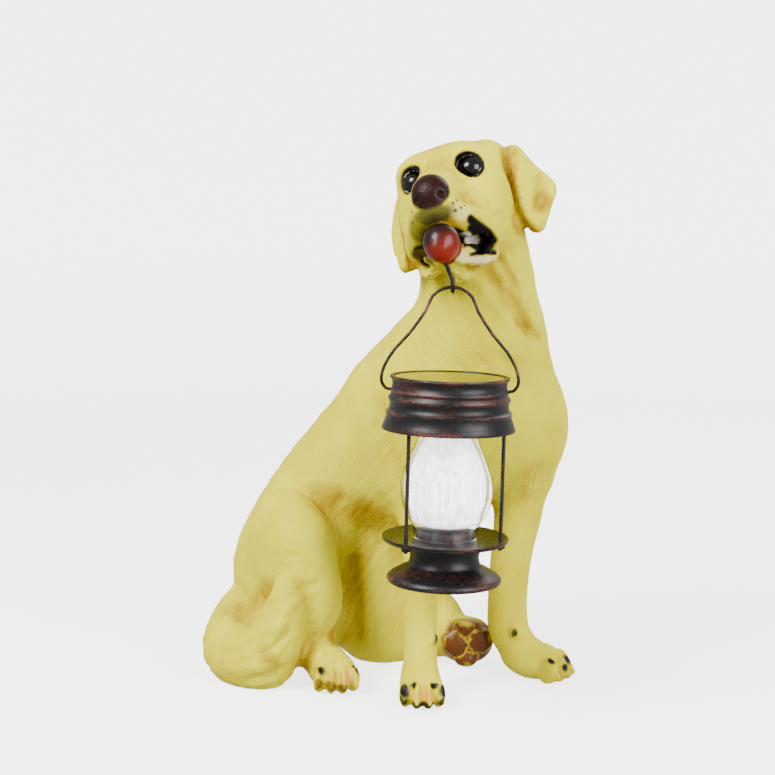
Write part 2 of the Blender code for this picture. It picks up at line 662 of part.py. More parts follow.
def main():
    for obj in list(bpy.data.objects):
        bpy.data.objects.remove(obj)
    resin = paint("yellow_resin", (0.86, 0.74, 0.24), 0.55, 0.0)
    black = paint("black_paint", (0.03, 0.02, 0.018), 0.4, 0.3)
    panel = paint("solar_cells", (0.12, 0.09, 0.04), 0.2, 0.0)
    clear = paint("clear_glass", (0.92, 0.94, 0.93), 0.05, 0.0)

    place = Matrix.Translation((*LANTERN_PLACE, APEX_HEIGHT - BAIL_RISE)) @ Matrix.Rotation(LANTERN_TURN, 4, "Z")
    dog = build_dog(resin)
    pieces = [dog]

    route = hook_route()
    hook = add_object("hook", tube(route, HOOK_ROD_RADIUS, WIRE_SIDES, (1, 0, 0)), black, place)
    start = Vector(route[-2])
    end = Vector(route[-1])
    deep = end + (end - start).normalized() * GAP
    hole = tube([Vector(route[-4]), Vector(route[-3]), start, deep], HOOK_ROD_RADIUS + HOLE_GAP, 10, (1, 0, 0))
    cutters = [cut_with(dog, "hook_hole", hole, place)]
    bail = add_object("bail", tube(bail_route(), BAIL_WIRE_RADIUS, WIRE_SIDES, (0, 1, 0)), black, place)

    cap = add_object("lantern_cap", turned(cap_profile(), ROUND_SIDES), black, place)
    pin_hole = BAIL_WIRE_RADIUS + HOLE_GAP
    for name, side in (("pin_hole_left", -1), ("pin_hole_right", 1)):
        near = side * (PIN_END - CUTTER_OVERSHOOT)
        far = side * (SKIRT_RADIUS + CUTTER_OVERSHOOT)
        cutters.append(cut_with(cap, name, tube([(near, 0, 0), (far, 0, 0)], pin_hole, 10, (0, 1, 0)), place))

    top = PIN_BELOW_TOP - PANEL_RECESS + GAP
    disc = [(0, top), (PANEL_RADIUS, top), (PANEL_RADIUS, top + PANEL_THICKNESS), (0, top + PANEL_THICKNESS)]
    solar = add_object("solar_panel", turned(disc, ROUND_SIDES), panel, place)
    glass = add_object("glass_chimney", turned(glass_profile(), GLASS_SIDES), clear, place)
    base = add_object("lantern_base", turned(base_profile(), ROUND_SIDES), black, place)

    flange = PIN_BELOW_TOP - FLANGE_DROP
    rod_top = PIN_BELOW_TOP - CAP_HEIGHT + LEDGE_RISE - GAP
    nut_top = flange - FLANGE_THICKNESS - GAP
    rods = []
    for name, angle in zip(("rod_right", "rod_left", "rod_rear"), ROD_ANGLES):
        a = math.radians(angle)
        spot = place @ Matrix.Translation((ROD_CIRCLE * math.cos(a), ROD_CIRCLE * math.sin(a), 0))
        r = ROD_RADIUS
        bottom = nut_top - NUT_HEIGHT - ROD_TAIL
        profile = [(0, rod_top), (r, rod_top), (r, nut_top), (NUT_RADIUS, nut_top),
                   (NUT_RADIUS, nut_top - NUT_HEIGHT), (r, nut_top - NUT_HEIGHT), (r, bottom), (0, bottom)]
        rods.append(add_object(name, turned(profile, WIRE_SIDES), black, spot))
        above = flange + CUTTER_OVERSHOOT
        below = flange - FLANGE_THICKNESS - CUTTER_OVERSHOOT
        hole = tube([(0, 0, above), (0, 0, below)], ROD_RADIUS + HOLE_GAP, WIRE_SIDES, (1, 0, 0))
        cutters.append(cut_with(base, name + "_hole", hole, spot))

    pieces += [hook, bail, cap, solar, glass, base] + rods
    bpy.context.view_layer.update()
    centre = middle_of(pieces)
    for obj in pieces + cutters:
        obj.location.x -= centre.x
        obj.location.y -= centre.y


main()
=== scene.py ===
import bpy
import bmesh
import math
import numpy as np
from mathutils import Matrix, Vector


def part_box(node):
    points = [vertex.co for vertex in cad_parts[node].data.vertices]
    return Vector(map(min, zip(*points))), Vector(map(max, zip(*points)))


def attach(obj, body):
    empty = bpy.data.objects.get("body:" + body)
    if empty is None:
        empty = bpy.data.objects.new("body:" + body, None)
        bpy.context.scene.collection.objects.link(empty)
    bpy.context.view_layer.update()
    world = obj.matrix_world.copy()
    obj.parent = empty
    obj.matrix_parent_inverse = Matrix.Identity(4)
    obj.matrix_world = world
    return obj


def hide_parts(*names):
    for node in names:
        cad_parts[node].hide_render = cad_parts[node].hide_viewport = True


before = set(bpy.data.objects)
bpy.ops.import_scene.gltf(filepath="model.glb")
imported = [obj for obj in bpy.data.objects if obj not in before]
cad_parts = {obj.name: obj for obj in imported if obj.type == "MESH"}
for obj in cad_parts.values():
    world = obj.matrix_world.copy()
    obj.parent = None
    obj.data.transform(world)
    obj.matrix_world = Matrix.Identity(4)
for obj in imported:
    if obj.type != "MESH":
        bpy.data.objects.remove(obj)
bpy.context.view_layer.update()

# Figure. Its masses are laid out in units, 413 of them to the dog's height.
DOG_HEIGHT = 0.413
UNIT = DOG_HEIGHT / 413
FAR = 60.0

HEAD_PLACE = (5.0, -42.0, 387.0)
HEAD_PITCH = -14.5
HEAD_ROLL = -16.0
HEAD_YAW = -58.5

# Lantern. Heights run up from its hinge pins, which set the swing axis.
LANTERN_TURN = math.radians(-45)
LANTERN_PLACE = (-26.0 * UNIT, -87.0 * UNIT)
APEX_HEIGHT = 307 * UNIT
BAIL_RISE = 0.0715
PIN_BELOW_TOP = 0.010
CAP_HEIGHT = 0.0372
SKIRT_RADIUS = 0.0468
SKIRT_FLARE = 0.0053
CAP_RADIUS = SKIRT_RADIUS - SKIRT_FLARE
CAP_WALL = 0.0024
LEDGE_RISE = 0.0042
PANEL_RECESS = 0.0018
LAMP_RADIUS = 0.0175
ROD_RADIUS = 0.0015
ROD_INSET = 0.0075
ROD_CIRCLE = SKIRT_RADIUS - ROD_INSET
ROD_ANGLES = (-15, -135, -255)
ROD_TAIL = 0.0012
NUT_RADIUS = 0.0034
NUT_HEIGHT = 0.0026
FLANGE_DROP = 0.1135
FLANGE_LIP = 0.0050
FLANGE_RADIUS = ROD_CIRCLE + FLANGE_LIP
FLANGE_THICKNESS = 0.0022
WAIST_RADIUS = 0.0251
FOOT_RADIUS = 0.0402
FOOT_DROP = 0.0313
SOCKET_RADIUS = 0.0200
SOCKET_HEIGHT = 0.0075
GLASS_WALL = 0.0015
SOCKET_CLEARANCE = 0.0012
LAMP_CLEARANCE = 0.0009
GLASS_NECK_RADIUS = SOCKET_RADIUS + SOCKET_CLEARANCE + GLASS_WALL
GLASS_BULGE = 0.0100
GLASS_BELLY_RADIUS = GLASS_NECK_RADIUS + GLASS_BULGE
GLASS_TOP_RADIUS = LAMP_RADIUS + LAMP_CLEARANCE + GLASS_WALL
GLASS_IN_CAP = 0.0072
GLASS_HEIGHT = FLANGE_DROP - CAP_HEIGHT + GLASS_IN_CAP
BAIL_WIRE_RADIUS = 0.00115
BAIL_STAND_OFF = 0.0061
BAIL_HALF_WIDTH = CAP_RADIUS + BAIL_STAND_OFF
PIN_REACH = 0.0051
PIN_END = CAP_RADIUS - PIN_REACH
HOOK_ROD_RADIUS = 0.0015
HOOK_CURL = 0.0050
HOOK_DEPTH = 0.0085
GAP = 0.0003
TURNED_SIDES = 96
WIRE_SIDES = 14

# A cell's eight corners, and the two ways to leave out one end of an axis.
CORNERS = [(i, j, k) for i in (0, 1) for j in (0, 1) for k in (0, 1)]
ENDS = (slice(None, -1), slice(1, None))


# Distance fields

def turn_matrix(turn):
    ax, ay, az = (math.radians(t) for t in turn)
    rx = np.array([[1, 0, 0], [0, math.cos(ax), -math.sin(ax)], [0, math.sin(ax), math.cos(ax)]])
    ry = np.array([[math.cos(ay), 0, math.sin(ay)], [0, 1, 0], [-math.sin(ay), 0, math.cos(ay)]])
    rz = np.array([[math.cos(az), -math.sin(az), 0], [math.sin(az), math.cos(az), 0], [0, 0, 1]])
    return rz @ ry @ rx


class Place:
    def __init__(self, origin=(0, 0, 0), turn=(0, 0, 0)):
        self.origin = np.array(origin, float)
        self.axes = turn_matrix(turn)

    def point(self, p):
        return self.origin + self.axes @ np.array(p, float)


HEAD = Place(HEAD_PLACE, (HEAD_PITCH, HEAD_ROLL, HEAD_YAW))
FOOT = Place((88, -11, 20), (0, 0, -45))
FOOT_PADS = ((-3, 13, 8, 6), (-11, -1, 8.5, 9.5), (8, 2, 11, 10), (-2, -13, 9, 6.5))


def ellipsoid(p, center, radii, axes):
    q = (p - center) @ axes
    near = np.sqrt(((q / radii) ** 2).sum(-1))
    slope = np.sqrt(((q / (radii * radii)) ** 2).sum(-1))
    return near * (near - 1.0) / np.maximum(slope, 1e-9)


def tapered_rod(p, a, b, radius_a, radius_b):
    along = b - a
    t = np.clip(((p - a) @ along) / max(along @ along, 1e-9), 0, 1)
    d = p - a - t[..., None] * along
    return np.sqrt((d * d).sum(-1)) - (radius_a + (radius_b - radius_a) * t)


def smooth_rows(rows, steps):
    """Catmull-Rom curve through rows of any width."""
    rows = np.array(rows, float)
    ext = np.vstack([2 * rows[0] - rows[1], rows, 2 * rows[-1] - rows[-2]])
    out = []
    for i in range(1, len(ext) - 2):
        a, b, c, d = ext[i - 1], ext[i], ext[i + 1], ext[i + 2]
        for s in range(steps):
            t = s / steps
            bend = 2 * a - 5 * b + 4 * c - d
            twist = 3 * b - a - 3 * c + d
            out.append(0.5 * (2 * b + (c - a) * t + bend * t * t + twist * t ** 3))
    out.append(ext[-2])
    return np.array(out)


class Sculpt:
    """Masses added and carved one after another, each blended over a soft width."""

    def __init__(self):
        self.steps = []
        self.place = Place()

    def ball(self, center, radii, turn=(0, 0, 0), soft=8, carve=False):
        radii = np.array(radii, float)
        axes = self.place.axes @ turn_matrix(turn)
        c = self.place.point(center)
        reach = np.sqrt(((axes * radii) ** 2).sum(1))
        self.steps.append((carve, soft, c - reach, c + reach, lambda p: ellipsoid(p, c, radii, axes)))

    def limb(self, points, soft=8, carve=False, steps=6):
        rows = smooth_rows([list(self.place.point(q[:3])) + [q[3]] for q in points], steps)
        lo = (rows[:, :3] - rows[:, 3:]).min(0)
        hi = (rows[:, :3] + rows[:, 3:]).max(0)

        def shape(p):
            best = None
            for u, v in zip(rows[:-1], rows[1:]):
                d = tapered_rod(p, u[:3], v[:3], u[3], v[3])
                best = d if best is None else np.minimum(best, d)
            return best

        self.steps.append((carve, soft, lo, hi, shape))


def blend(old, new, soft):
    h = np.maximum(soft - np.abs(old - new), 0.0) / soft
    return np.minimum(old, new) - h * h * soft * 0.25


def lay(field, where, d, soft, carve):
    """Adds a shape's distances to one part of a field, or carves them from it."""
    field[where] = -blend(-field[where], d, soft) if carve else blend(field[where], d, soft)


def field_on_grid(sculpt, lo, hi, step):
    axes = [np.arange(a, b + step, step) for a, b in zip(lo, hi)]
    field = np.full([len(a) for a in axes], FAR)
    for carve, soft, low, high, shape in sculpt.steps:
        pad = soft + 3 * step
        cut = []
        for k in range(3):
            first = np.searchsorted(axes[k], low[k] - pad)
            last = np.searchsorted(axes[k], high[k] + pad)
            cut.append(slice(first, last))
        cut = tuple(cut)
        p = np.stack(np.meshgrid(*[axes[k][cut[k]] for k in range(3)], indexing="ij"), -1)
        lay(field, cut, shape(p), soft, carve)
    return axes, field


def keep_one_body(inside):
    """Fills sealed hollows, then keeps the piece that holds the middle of the trunk."""
    def spread(seed, allowed):
        while True:
            grown = seed.copy()
            for k in range(3):
                a, b = (tuple(end if m == k else slice(None) for m in range(3)) for end in ENDS)
                grown[a] |= seed[b]
                grown[b] |= seed[a]
            grown &= allowed
            if (grown == seed).all():
                return seed
            seed = grown

    corner = np.zeros_like(inside)
    corner[0, 0, 0] = True
    solid = ~spread(corner, ~inside)
    x, y = inside.shape[0] // 2, inside.shape[1] // 2
    column = np.argwhere(solid[x, y])
    start = np.zeros_like(inside)
    start[x, y, column[len(column) // 2][0]] = True
    return spread(start, solid)


def close_pinches(inside):
    """Fills corners where two surfaces would meet at one edge or point."""
    for _ in range(30):
        fill = np.zeros_like(inside)
        for k in range(3):
            u, v = [m for m in range(3) if m != k]
            part = []
            for i, j in ((0, 0), (0, 1), (1, 0), (1, 1)):
                cut = [slice(None)] * 3
                cut[u], cut[v] = ENDS[i], ENDS[j]
                part.append(tuple(cut))
            a, b, c, d = (inside[cut] for cut in part)
            for cut in part:
                fill[cut] |= (a & d & ~b & ~c) | (~a & ~d & b & c)
        block = [tuple(ENDS[e] for e in corner) for corner in CORNERS]
        count = sum(inside[cut].astype(int) for cut in block)
        for a in range(4):
            one, two = inside[block[a]], inside[block[7 - a]]
            lone = (one & two & (count == 2)) | (~one & ~two & (count == 6))
            for cut in block:
                fill[cut] |= lone
        fill &= ~inside
        if not fill.any():
            break
        inside = inside | fill
    return inside


def surface_net(axes, field):
    """One point in each grid cell that the surface crosses, joined into four-sided faces."""
    inside = field < 0
    n = np.array(field.shape) - 1
    count = np.zeros(n, int)
    for i, j, k in CORNERS:
        count += inside[i:n[0] + i, j:n[1] + j, k:n[2] + k]
    cells = np.argwhere((count > 0) & (count < 8))
    index = np.full(n, -1)
    index[tuple(cells.T)] = np.arange(len(cells))
    total = np.zeros((len(cells), 3))
    hits = np.zeros(len(cells))
    for a in np.array(CORNERS):
        for k in range(3):
            if a[k]:
                continue
            b = a.copy()
            b[k] = 1
            near = field[tuple((cells + a).T)]
            far = field[tuple((cells + b).T)]
            cross = (near < 0) != (far < 0)
            t = np.where(cross, near / np.where(cross, near - far, 1), 0)
            total[cross] += (a + (b - a) * t[:, None])[cross]
            hits[cross] += 1
    step = np.array([a[1] - a[0] for a in axes])
    low = np.array([a[0] for a in axes])
    points = low + (cells + total / hits[:, None]) * step
    faces = []
    for k in range(3):
        u, v = [m for m in range(3) if m != k]
        edge = np.argwhere(inside.take(range(n[k]), axis=k) != inside.take(range(1, n[k] + 1), axis=k))
        edge = edge[(edge[:, u] > 0) & (edge[:, v] > 0) & (edge[:, u] < n[u]) & (edge[:, v] < n[v])]
        out = inside[tuple(edge.T)]
        eu = np.eye(3, dtype=int)[u]
        ev = np.eye(3, dtype=int)[v]
        around = [edge - eu - ev, edge - ev, edge, edge - eu]
        quad = np.stack([index[tuple(c.T)] for c in around], 1)
        flip = out == (k == 1)
        quad[flip] = quad[flip][:, ::-1]
        faces.append(quad)
    return points, np.concatenate(faces)


# The dog's masses. A foreleg, thigh or paw on the dog's right has negative x.

def add_trunk(s):
    s.limb([(52, -7, 218, 51), (36, 35, 181, 52), (24, 68, 145, 50), (7, 89, 108, 48), (-6, 98, 74, 47),
            (-6, 91, 48, 44)], soft=10, steps=10)
    s.ball((80, -24, 200), (50, 48, 62), (14, 0, -30), soft=20)
    s.ball((56, 20, 168), (48, 58, 56), (38, 0, -28), soft=24)
    s.limb([(80, -28, 228, 50), (70, -33, 260, 49), (58, -38, 290, 45), (48, -42, 317, 42),
            (40, -41, 345, 39), (34, -33, 368, 34)], soft=20, steps=10)
    s.limb([(61, -29, 268, 43), (51, -3, 242, 45), (43, 18, 214, 48)], soft=18, steps=8)
    s.ball((92, -44, 206), (36, 32, 48), (0, 0, -30), soft=18)


def add_neck_folds(s):
    """Loose skin drawn back from the jaw by the turn of the head."""
    s.limb([(14, -78, 320, 2.5), (24, -79, 313, 4.5), (36, -83, 301, 5.5), (52, -85, 287, 4.5), (66, -84, 274, 2.5)],
           soft=7, carve=True)
    s.limb([(27, -81, 328, 2.0), (36, -84, 317, 3.5), (50, -86, 303, 2.5)], soft=5, carve=True)
    s.limb([(51, -84, 282, 2.0), (64, -84, 275, 3.0), (76, -83, 270, 2.0)], soft=5, carve=True)
    s.limb([(-10, 2, 216, 1.0), (-10, -8, 194, 3.0), (-6, -14, 172, 3.0), (3, -18, 152, 1.5)], soft=14, carve=True)


def add_toes(s, radii, toes):
    """Toes spread across a paw's front, parted by grooves and each ending in a claw."""
    for k in range(toes):
        side = k - (toes - 1) / 2
        ahead = radii[1] * (0.84 - 0.10 * side * side)
        x = side * radii[0] * 0.50
        s.ball((x, -ahead, -radii[2] * 0.20), (radii[0] * 0.30, radii[1] * 0.38, radii[2] * 0.74), (0, 0, side * 8),
               soft=2.5)
        s.ball((x + side * 1.2, -ahead - radii[1] * 0.34, -radii[2] * 0.42),
               (radii[0] * 0.11, radii[1] * 0.17, radii[2] * 0.24), (0, 0, side * 12), soft=1.5)
    for k in range(toes - 1):
        x = (k - (toes - 2) / 2) * radii[0] * 0.50
        s.limb([(x * 0.8, -radii[1] * 0.2, radii[2] * 1.3, 1.2), (x * 0.95, -radii[1] * 0.75, radii[2] * 0.85, 2.0),
                (x * 1.1, -radii[1] * 1.15, -radii[2] * 0.1, 1.8)], soft=3, carve=True)


def add_paw(s, center, radii, turn):
    s.ball(center, radii, (0, 0, turn), soft=8)
    s.place = Place(center, (0, 0, turn))
    add_toes(s, radii, 4)
    s.place = Place()


def add_forelegs(s):
    s.ball((34, -8, 186), (26, 28, 44), (10, 0, -20), soft=16)
    s.limb([(28, -10, 150, 22), (20, -20, 120, 16), (15, -26, 92, 13.5), (11, -30, 62, 12.5), (8, -34, 38, 12.5),
            (1, -41, 22, 13)], soft=14)
    add_paw(s, (-7, -50, 12), (16, 20, 13.5), -42)
    s.ball((112, -46, 188), (26, 30, 44), (8, 0, 10), soft=16)
    s.limb([(108, -44, 150, 22), (103, -44, 118, 18), (99, -43, 90, 16), (98, -42, 60, 15.5), (98, -44, 36, 16),
            (100, -52, 22, 15)], soft=14)
    add_paw(s, (105, -66, 13), (18, 24, 14.5), 22)
    for spot in ((9, -47, 43), (87, -59, 37)):
        s.ball(spot, (3, 3, 4.5), soft=3)


def add_haunches(s):
    s.limb([(44, 34, 122, 32), (48, 38, 92, 33), (52, 44, 60, 35), (52, 50, 30, 34)], soft=16)
    s.ball((52, 58, 46), (40, 44, 50), soft=16)
    s.ball((78, 34, 30), (30, 40, 32), soft=14)
    s.ball((-30, 70, 94), (30, 45, 50), (-20, 0, -12), soft=5)
    s.ball((-34, 48, 66), (22, 33, 36), soft=10)
    s.limb([(-34, 44, 52, 22), (-34, 40, 30, 18), (-37, 22, 18, 14)], soft=8)
    add_paw(s, (-34, 16, 13), (17, 20, 14), -34)
    for x, y, lean in ((2, 4, -4), (16, 0, 2), (30, -6, 5)):
        s.limb([(x, y + 2, 104, 1.5), (x + lean, y, 74, 3.5), (x + lean * 1.4, y + 3, 44, 3.5),
                (x + lean, y + 8, 18, 2)], soft=8, carve=True)


def add_sole(s):
    """The left hind foot lies on its side, so its pads show between the forelegs."""
    s.limb([(88, 34, 22, 18), (92, 14, 19, 16), (86, -2, 19, 16)], soft=10)
    s.place = FOOT
    s.ball((0, 0, 0), (20, 14, 19), soft=6)
    for x, z, width, height in FOOT_PADS:
        s.ball((x, -9, z), (width, 6, height), soft=3)


def add_tail(s):
    s.limb([(-19, 116, 55, 15), (-45, 113, 42, 18), (-65, 100, 22, 23), (-72, 75, 17, 25), (-68, 54, 22, 25),
            (-64, 43, 44, 20), (-62, 40, 61, 16.5), (-60, 41, 76, 11)], soft=6, steps=6)
    s.ball((-44, 80, 30), (20, 30, 26), soft=8)


def add_head(s):
    s.ball((3, 27, -2), (35, 38, 29), soft=10)
    s.ball((0, 46, -8), (32, 30, 28), soft=14)
    s.ball((33, 28, 6), (15, 20, 17), soft=14)
    s.ball((-19, 28, 0), (13, 20, 16), soft=12)
    s.ball((30, 22, -26), (18, 26, 30), soft=14)
    s.limb([(0, 4, -11, 19), (0, -20, -22, 17.5), (0, -38, -28, 15)], soft=14)
    s.limb([(0, -30, -74, 6), (0, -16, -75, 8.5), (0, 6, -71, 13), (0, 30, -60, 20)], soft=8)
    for m in (-1, 1):
        s.ball((m * 17, 4, 5), (15, 14, 12), soft=12)
        s.ball((m * 21, 16, -30), (17, 28, 28), soft=16)
        s.limb([(m * 7, -42, -42, 9.5), (m * 12, -33, -46, 10.5), (m * 17.5, -17, -48, 12), (m * 22, 2, -52, 13)],
               soft=9)
        s.limb([(m * 6, -33, -73, 4.5), (m * 12, -19, -74, 5), (m * 19, -5, -73, 5), (m * 24, 6, -67, 6)],
               soft=6)


def add_mouth(s):
    s.ball((0, -28, -64), (16, 27, 9), (-4, 0, 0), soft=3, carve=True)
    for m in (-1, 1):
        s.ball((m * 18, -13, -62), (11, 17, 6.5), (34, 0, 0), soft=3, carve=True)
    s.limb([(0, -6, -67, 9), (1, -28, -66, 10.5), (1.5, -42, -66, 11.5)], soft=3)
    s.ball((1.8, -49, -66), (12.8, 12.5, 12.8), soft=3)
    s.ball((0, -51, -73), (8.5, 9, 8.5), soft=5)
    for m in (-1, 1):
        s.limb([(m * 11, -34, -70, 3), (m * 14.5, -25, -68, 3.5), (m * 17.5, -15, -66, 3)], soft=3)


def add_nose_and_eyes(s):
    s.ball((0.5, -47, -30), (13.3, 11, 13), soft=2.5)
    s.ball((0, -47, -41), (7, 7, 7), soft=4)
    for m in (-1, 1):
        s.ball((m * 9.5, -55.5, -35), (3, 4, 2), (0, m * 25, 0), soft=1.5, carve=True)
    for x in (23.3, -18.5):
        s.ball((x, -8, -3.5), (10.5, 6.5, 10), soft=4, carve=True)
        s.ball((x, -0.5, -3.5), (9.5, 9, 9), soft=1)


def add_flap(s, front, back, strips, soft):
    """A thin ear, fanned between its front and rear edges."""
    front = np.array(front, float)
    back = np.array(back, float)
    for k in range(strips):
        t = k / (strips - 1)
        s.limb([tuple(row) for row in front * (1 - t) + back * t], soft=soft)


def add_ears(s):
    front = [(50, 27, 9, 5), (51, 25, -5, 5), (51, 25, -24, 5), (52, 27, -40, 5), (55, 31, -47, 4)]
    back = [(51, 33, 10, 5), (60, 37, -3, 4.5), (71, 42, -18, 4), (65, 38, -33, 4), (58, 33, -46, 4)]
    add_flap(s, front, back, 6, 4)
    s.limb([(x - 1, y - 2, z, 4.0) for x, y, z, _ in front], soft=2)
    s.limb([(46, 18, 9, 2), (44.5, 16, -6, 3.5), (44, 16, -24, 4), (45, 19, -40, 4), (51, 29, -53, 3)],
           soft=4, carve=True)
    s.limb([(67, 34, -14, 1), (65, 31, -26, 2.5), (61, 28, -37, 1)], soft=8, carve=True)
    add_flap(s, [(-23, 14, 2, 6), (-25, 11, -14, 6), (-26, 9, -36, 5.5), (-27, 10, -55, 4.5)],
             [(-26, 26, 3, 6), (-37, 24, -12, 6), (-44, 22, -34, 5.5), (-42, 17, -57, 4.5)], 4, 6)
    s.limb([(-32, 12, -4, 1.5), (-34, 9, -22, 3), (-34, 8, -44, 3), (-35, 9, -62, 2)], soft=4, carve=True)


def dog_sculpt():
    s = Sculpt()
    for add in (add_trunk, add_neck_folds, add_haunches, add_forelegs, add_sole, add_tail):
        s.place = Place()
        add(s)
    s.place = HEAD
    for add in (add_head, add_mouth, add_nose_and_eyes, add_ears):
        add(s)
    return s


def join_rings(bm, one, two):
    """Faces between two rings of vertices. A ring of one vertex is a tip."""
    for k in range(max(len(one), len(two))):
        corners = [ring[m % len(ring)] for ring, m in ((one, k), (one, k + 1), (two, k + 1), (two, k))]
        bm.faces.new(list(dict.fromkeys(corners)))


def turned(profile, sides):
    """A closed profile of radius and height, turned about Z. Radius 0 closes on the axis."""
    bm = bmesh.new()
    rings = []
    for radius, height in profile:
        angles = [2 * math.pi * k / sides for k in range(sides)] if radius > 1e-6 else [0]
        rings.append([bm.verts.new((radius * math.cos(a), radius * math.sin(a), height)) for a in angles])
    if len(rings[0]) > 1:
        rings.append(rings[0])
    for one, two in zip(rings[:-1], rings[1:]):
        join_rings(bm, one, two)
    return bm


def skinned(rings):
    """Rings of points joined into a wire or rod with flat ends."""
    bm = bmesh.new()
    rings = [[bm.verts.new(p) for p in ring] for ring in rings]
    for one, two in zip(rings[:-1], rings[1:]):
        join_rings(bm, one, two)
    bm.faces.new(rings[0])
    bm.faces.new(rings[-1])
    return bm


def tube(points, radius, sides, first_side):
    """A round wire along points. first_side is a direction across its start."""
    points = [Vector(p) for p in points]
    side = Vector(first_side)
    rings = []
    for i, p in enumerate(points):
        along = (points[min(i + 1, len(points) - 1)] - points[max(i - 1, 0)]).normalized()
        side = (side - along * side.dot(along)).normalized()
        up = along.cross(side)
        angles = [2 * math.pi * (k + 0.5) / sides for k in range(sides)]
        rings.append([p + (side * math.cos(a) + up * math.sin(a)) * radius for a in angles])
    return skinned(rings)


def cap_profile():
    top = PIN_BELOW_TOP
    r = CAP_RADIUS
    rings = [(r - 0.0031, -PANEL_RECESS), (r - 0.0027, 0), (r, 0), (r + 0.0003, -0.0012), (r - 0.0011, -0.0028),
             (r - 0.0016, -0.0055), (r - 0.0012, -0.0086), (r - 0.0002, -0.0097), (r - 0.0002, -0.0109),
             (r - 0.0008, -0.0122), (r + 0.0011, -0.0150), (r + 0.0011, -0.0161), (r + 0.0002, -0.0174),
             (r, -0.0205), (r + 0.0006, -0.0232), (r + 0.0025, -0.0246), (r + 0.0025, -0.0257),
             (r + 0.0019, -0.0270), (SKIRT_RADIUS - 0.0014, -0.0330), (SKIRT_RADIUS, -CAP_HEIGHT + 0.0008),
             (SKIRT_RADIUS - 0.0004, -CAP_HEIGHT)]
    ledge = -CAP_HEIGHT + LEDGE_RISE
    roof = -PANEL_RECESS - CAP_WALL
    inner = [(SKIRT_RADIUS - CAP_WALL, -CAP_HEIGHT), (SKIRT_RADIUS - CAP_WALL - 0.0014, ledge),
             (ROD_CIRCLE - 0.0033, ledge), (ROD_CIRCLE - 0.0033, ledge + CAP_WALL),
             (r - 0.0026, ledge + 0.0045), (r - 0.0040, -0.0130), (r - 0.0040, roof),
             (LAMP_RADIUS, roof), (LAMP_RADIUS, ledge), (0, ledge)]
    return [(radius, height + top) for radius, height in [(0, -PANEL_RECESS)] + rings + inner]


def base_profile():
    r = FLANGE_RADIUS
    t = FLANGE_THICKNESS
    foot = FOOT_RADIUS
    rings = [(0, SOCKET_HEIGHT), (SOCKET_RADIUS - 0.0012, SOCKET_HEIGHT), (SOCKET_RADIUS, SOCKET_HEIGHT - 0.0012),
             (SOCKET_RADIUS, 0), (r - 0.0040, 0), (r - 0.0012, 0.0010), (r, 0.0008), (r + 0.0002, -0.0006),
             (r - 0.0008, -t), (r - 0.0100, -t), (WAIST_RADIUS + 0.0046, -0.0040), (WAIST_RADIUS + 0.0006, -0.0056),
             (WAIST_RADIUS, -0.0085), (WAIST_RADIUS - 0.0010, -0.0135), (WAIST_RADIUS, -0.0180),
             (WAIST_RADIUS + 0.0016, -0.0200), (WAIST_RADIUS + 0.0070, -0.0226), (foot - 0.0022, -0.0260),
             (foot, -0.0283), (foot, -0.0298), (foot - 0.0008, -FOOT_DROP), (foot - 0.0030, -FOOT_DROP),
             (foot - 0.0040, -FOOT_DROP + 0.0018), (0, -FOOT_DROP + 0.0018)]
    return [(radius, height + PIN_BELOW_TOP - FLANGE_DROP) for radius, height in rings]


def glass_profile():
    belly = GLASS_BELLY_RADIUS
    neck = GLASS_NECK_RADIUS
    top = GLASS_TOP_RADIUS
    outer = [(neck, 0.0), (neck + 0.0001, 0.078), (neck + 0.0013, 0.114), (belly - 0.0051, 0.180),
             (belly - 0.0019, 0.269), (belly - 0.0003, 0.359), (belly, 0.431), (belly - 0.0011, 0.515),
             (belly - 0.0035, 0.605), (belly - 0.0067, 0.701), (top + 0.0033, 0.778), (top + 0.0011, 0.850),
             (top, 0.922), (top, 1.0)]
    inner = [(radius - GLASS_WALL, share) for radius, share in [outer[0]] + outer[1::2]]
    inner.reverse()
    foot = PIN_BELOW_TOP - FLANGE_DROP + GAP
    return [(radius, foot + share * (GLASS_HEIGHT - GAP)) for radius, share in outer + inner]


def bail_route():
    """The wire from pin to pin in the lantern's upright plane, as shares of its half width and rise."""
    half = [(0, 1), (0.14, 0.983), (0.29, 0.909), (0.38, 0.769), (0.60, 0.552), (0.82, 0.385), (0.955, 0.231),
            (1, 0.119), (0.985, 0.052), (0.93, 0.007)]
    rows = smooth_rows([(x * BAIL_HALF_WIDTH, 0, z * BAIL_RISE) for x, z in half], 2)
    right = [tuple(p) for p in rows] + [(0.88 * BAIL_HALF_WIDTH, 0, 0), (PIN_END, 0, 0)]
    left = [(-x, y, z) for x, y, z in right[:0:-1]]
    return left + right


def hook_route():
    """From the free tip, round under the bail's top, and up at a slant into the tongue."""
    low = BAIL_RISE - BAIL_WIRE_RADIUS - GAP - HOOK_ROD_RADIUS
    middle = low + HOOK_CURL
    points = [(0, HOOK_CURL + 0.0006, middle + 0.0042), (0, HOOK_CURL, middle + 0.0016)]
    for k in range(9):
        a = math.pi * k / 8
        points.append((0, HOOK_CURL * math.cos(a), middle - HOOK_CURL * math.sin(a)))
    points += [(-0.0012, -HOOK_CURL + 0.0004, middle + 0.0045), (-0.0034, -0.0032, middle + 0.0095),
               (-0.0056, -0.0012, middle + 0.0150), (-0.0076, 0.0002, middle + 0.0150 + HOOK_DEPTH)]
    return points


# Scene

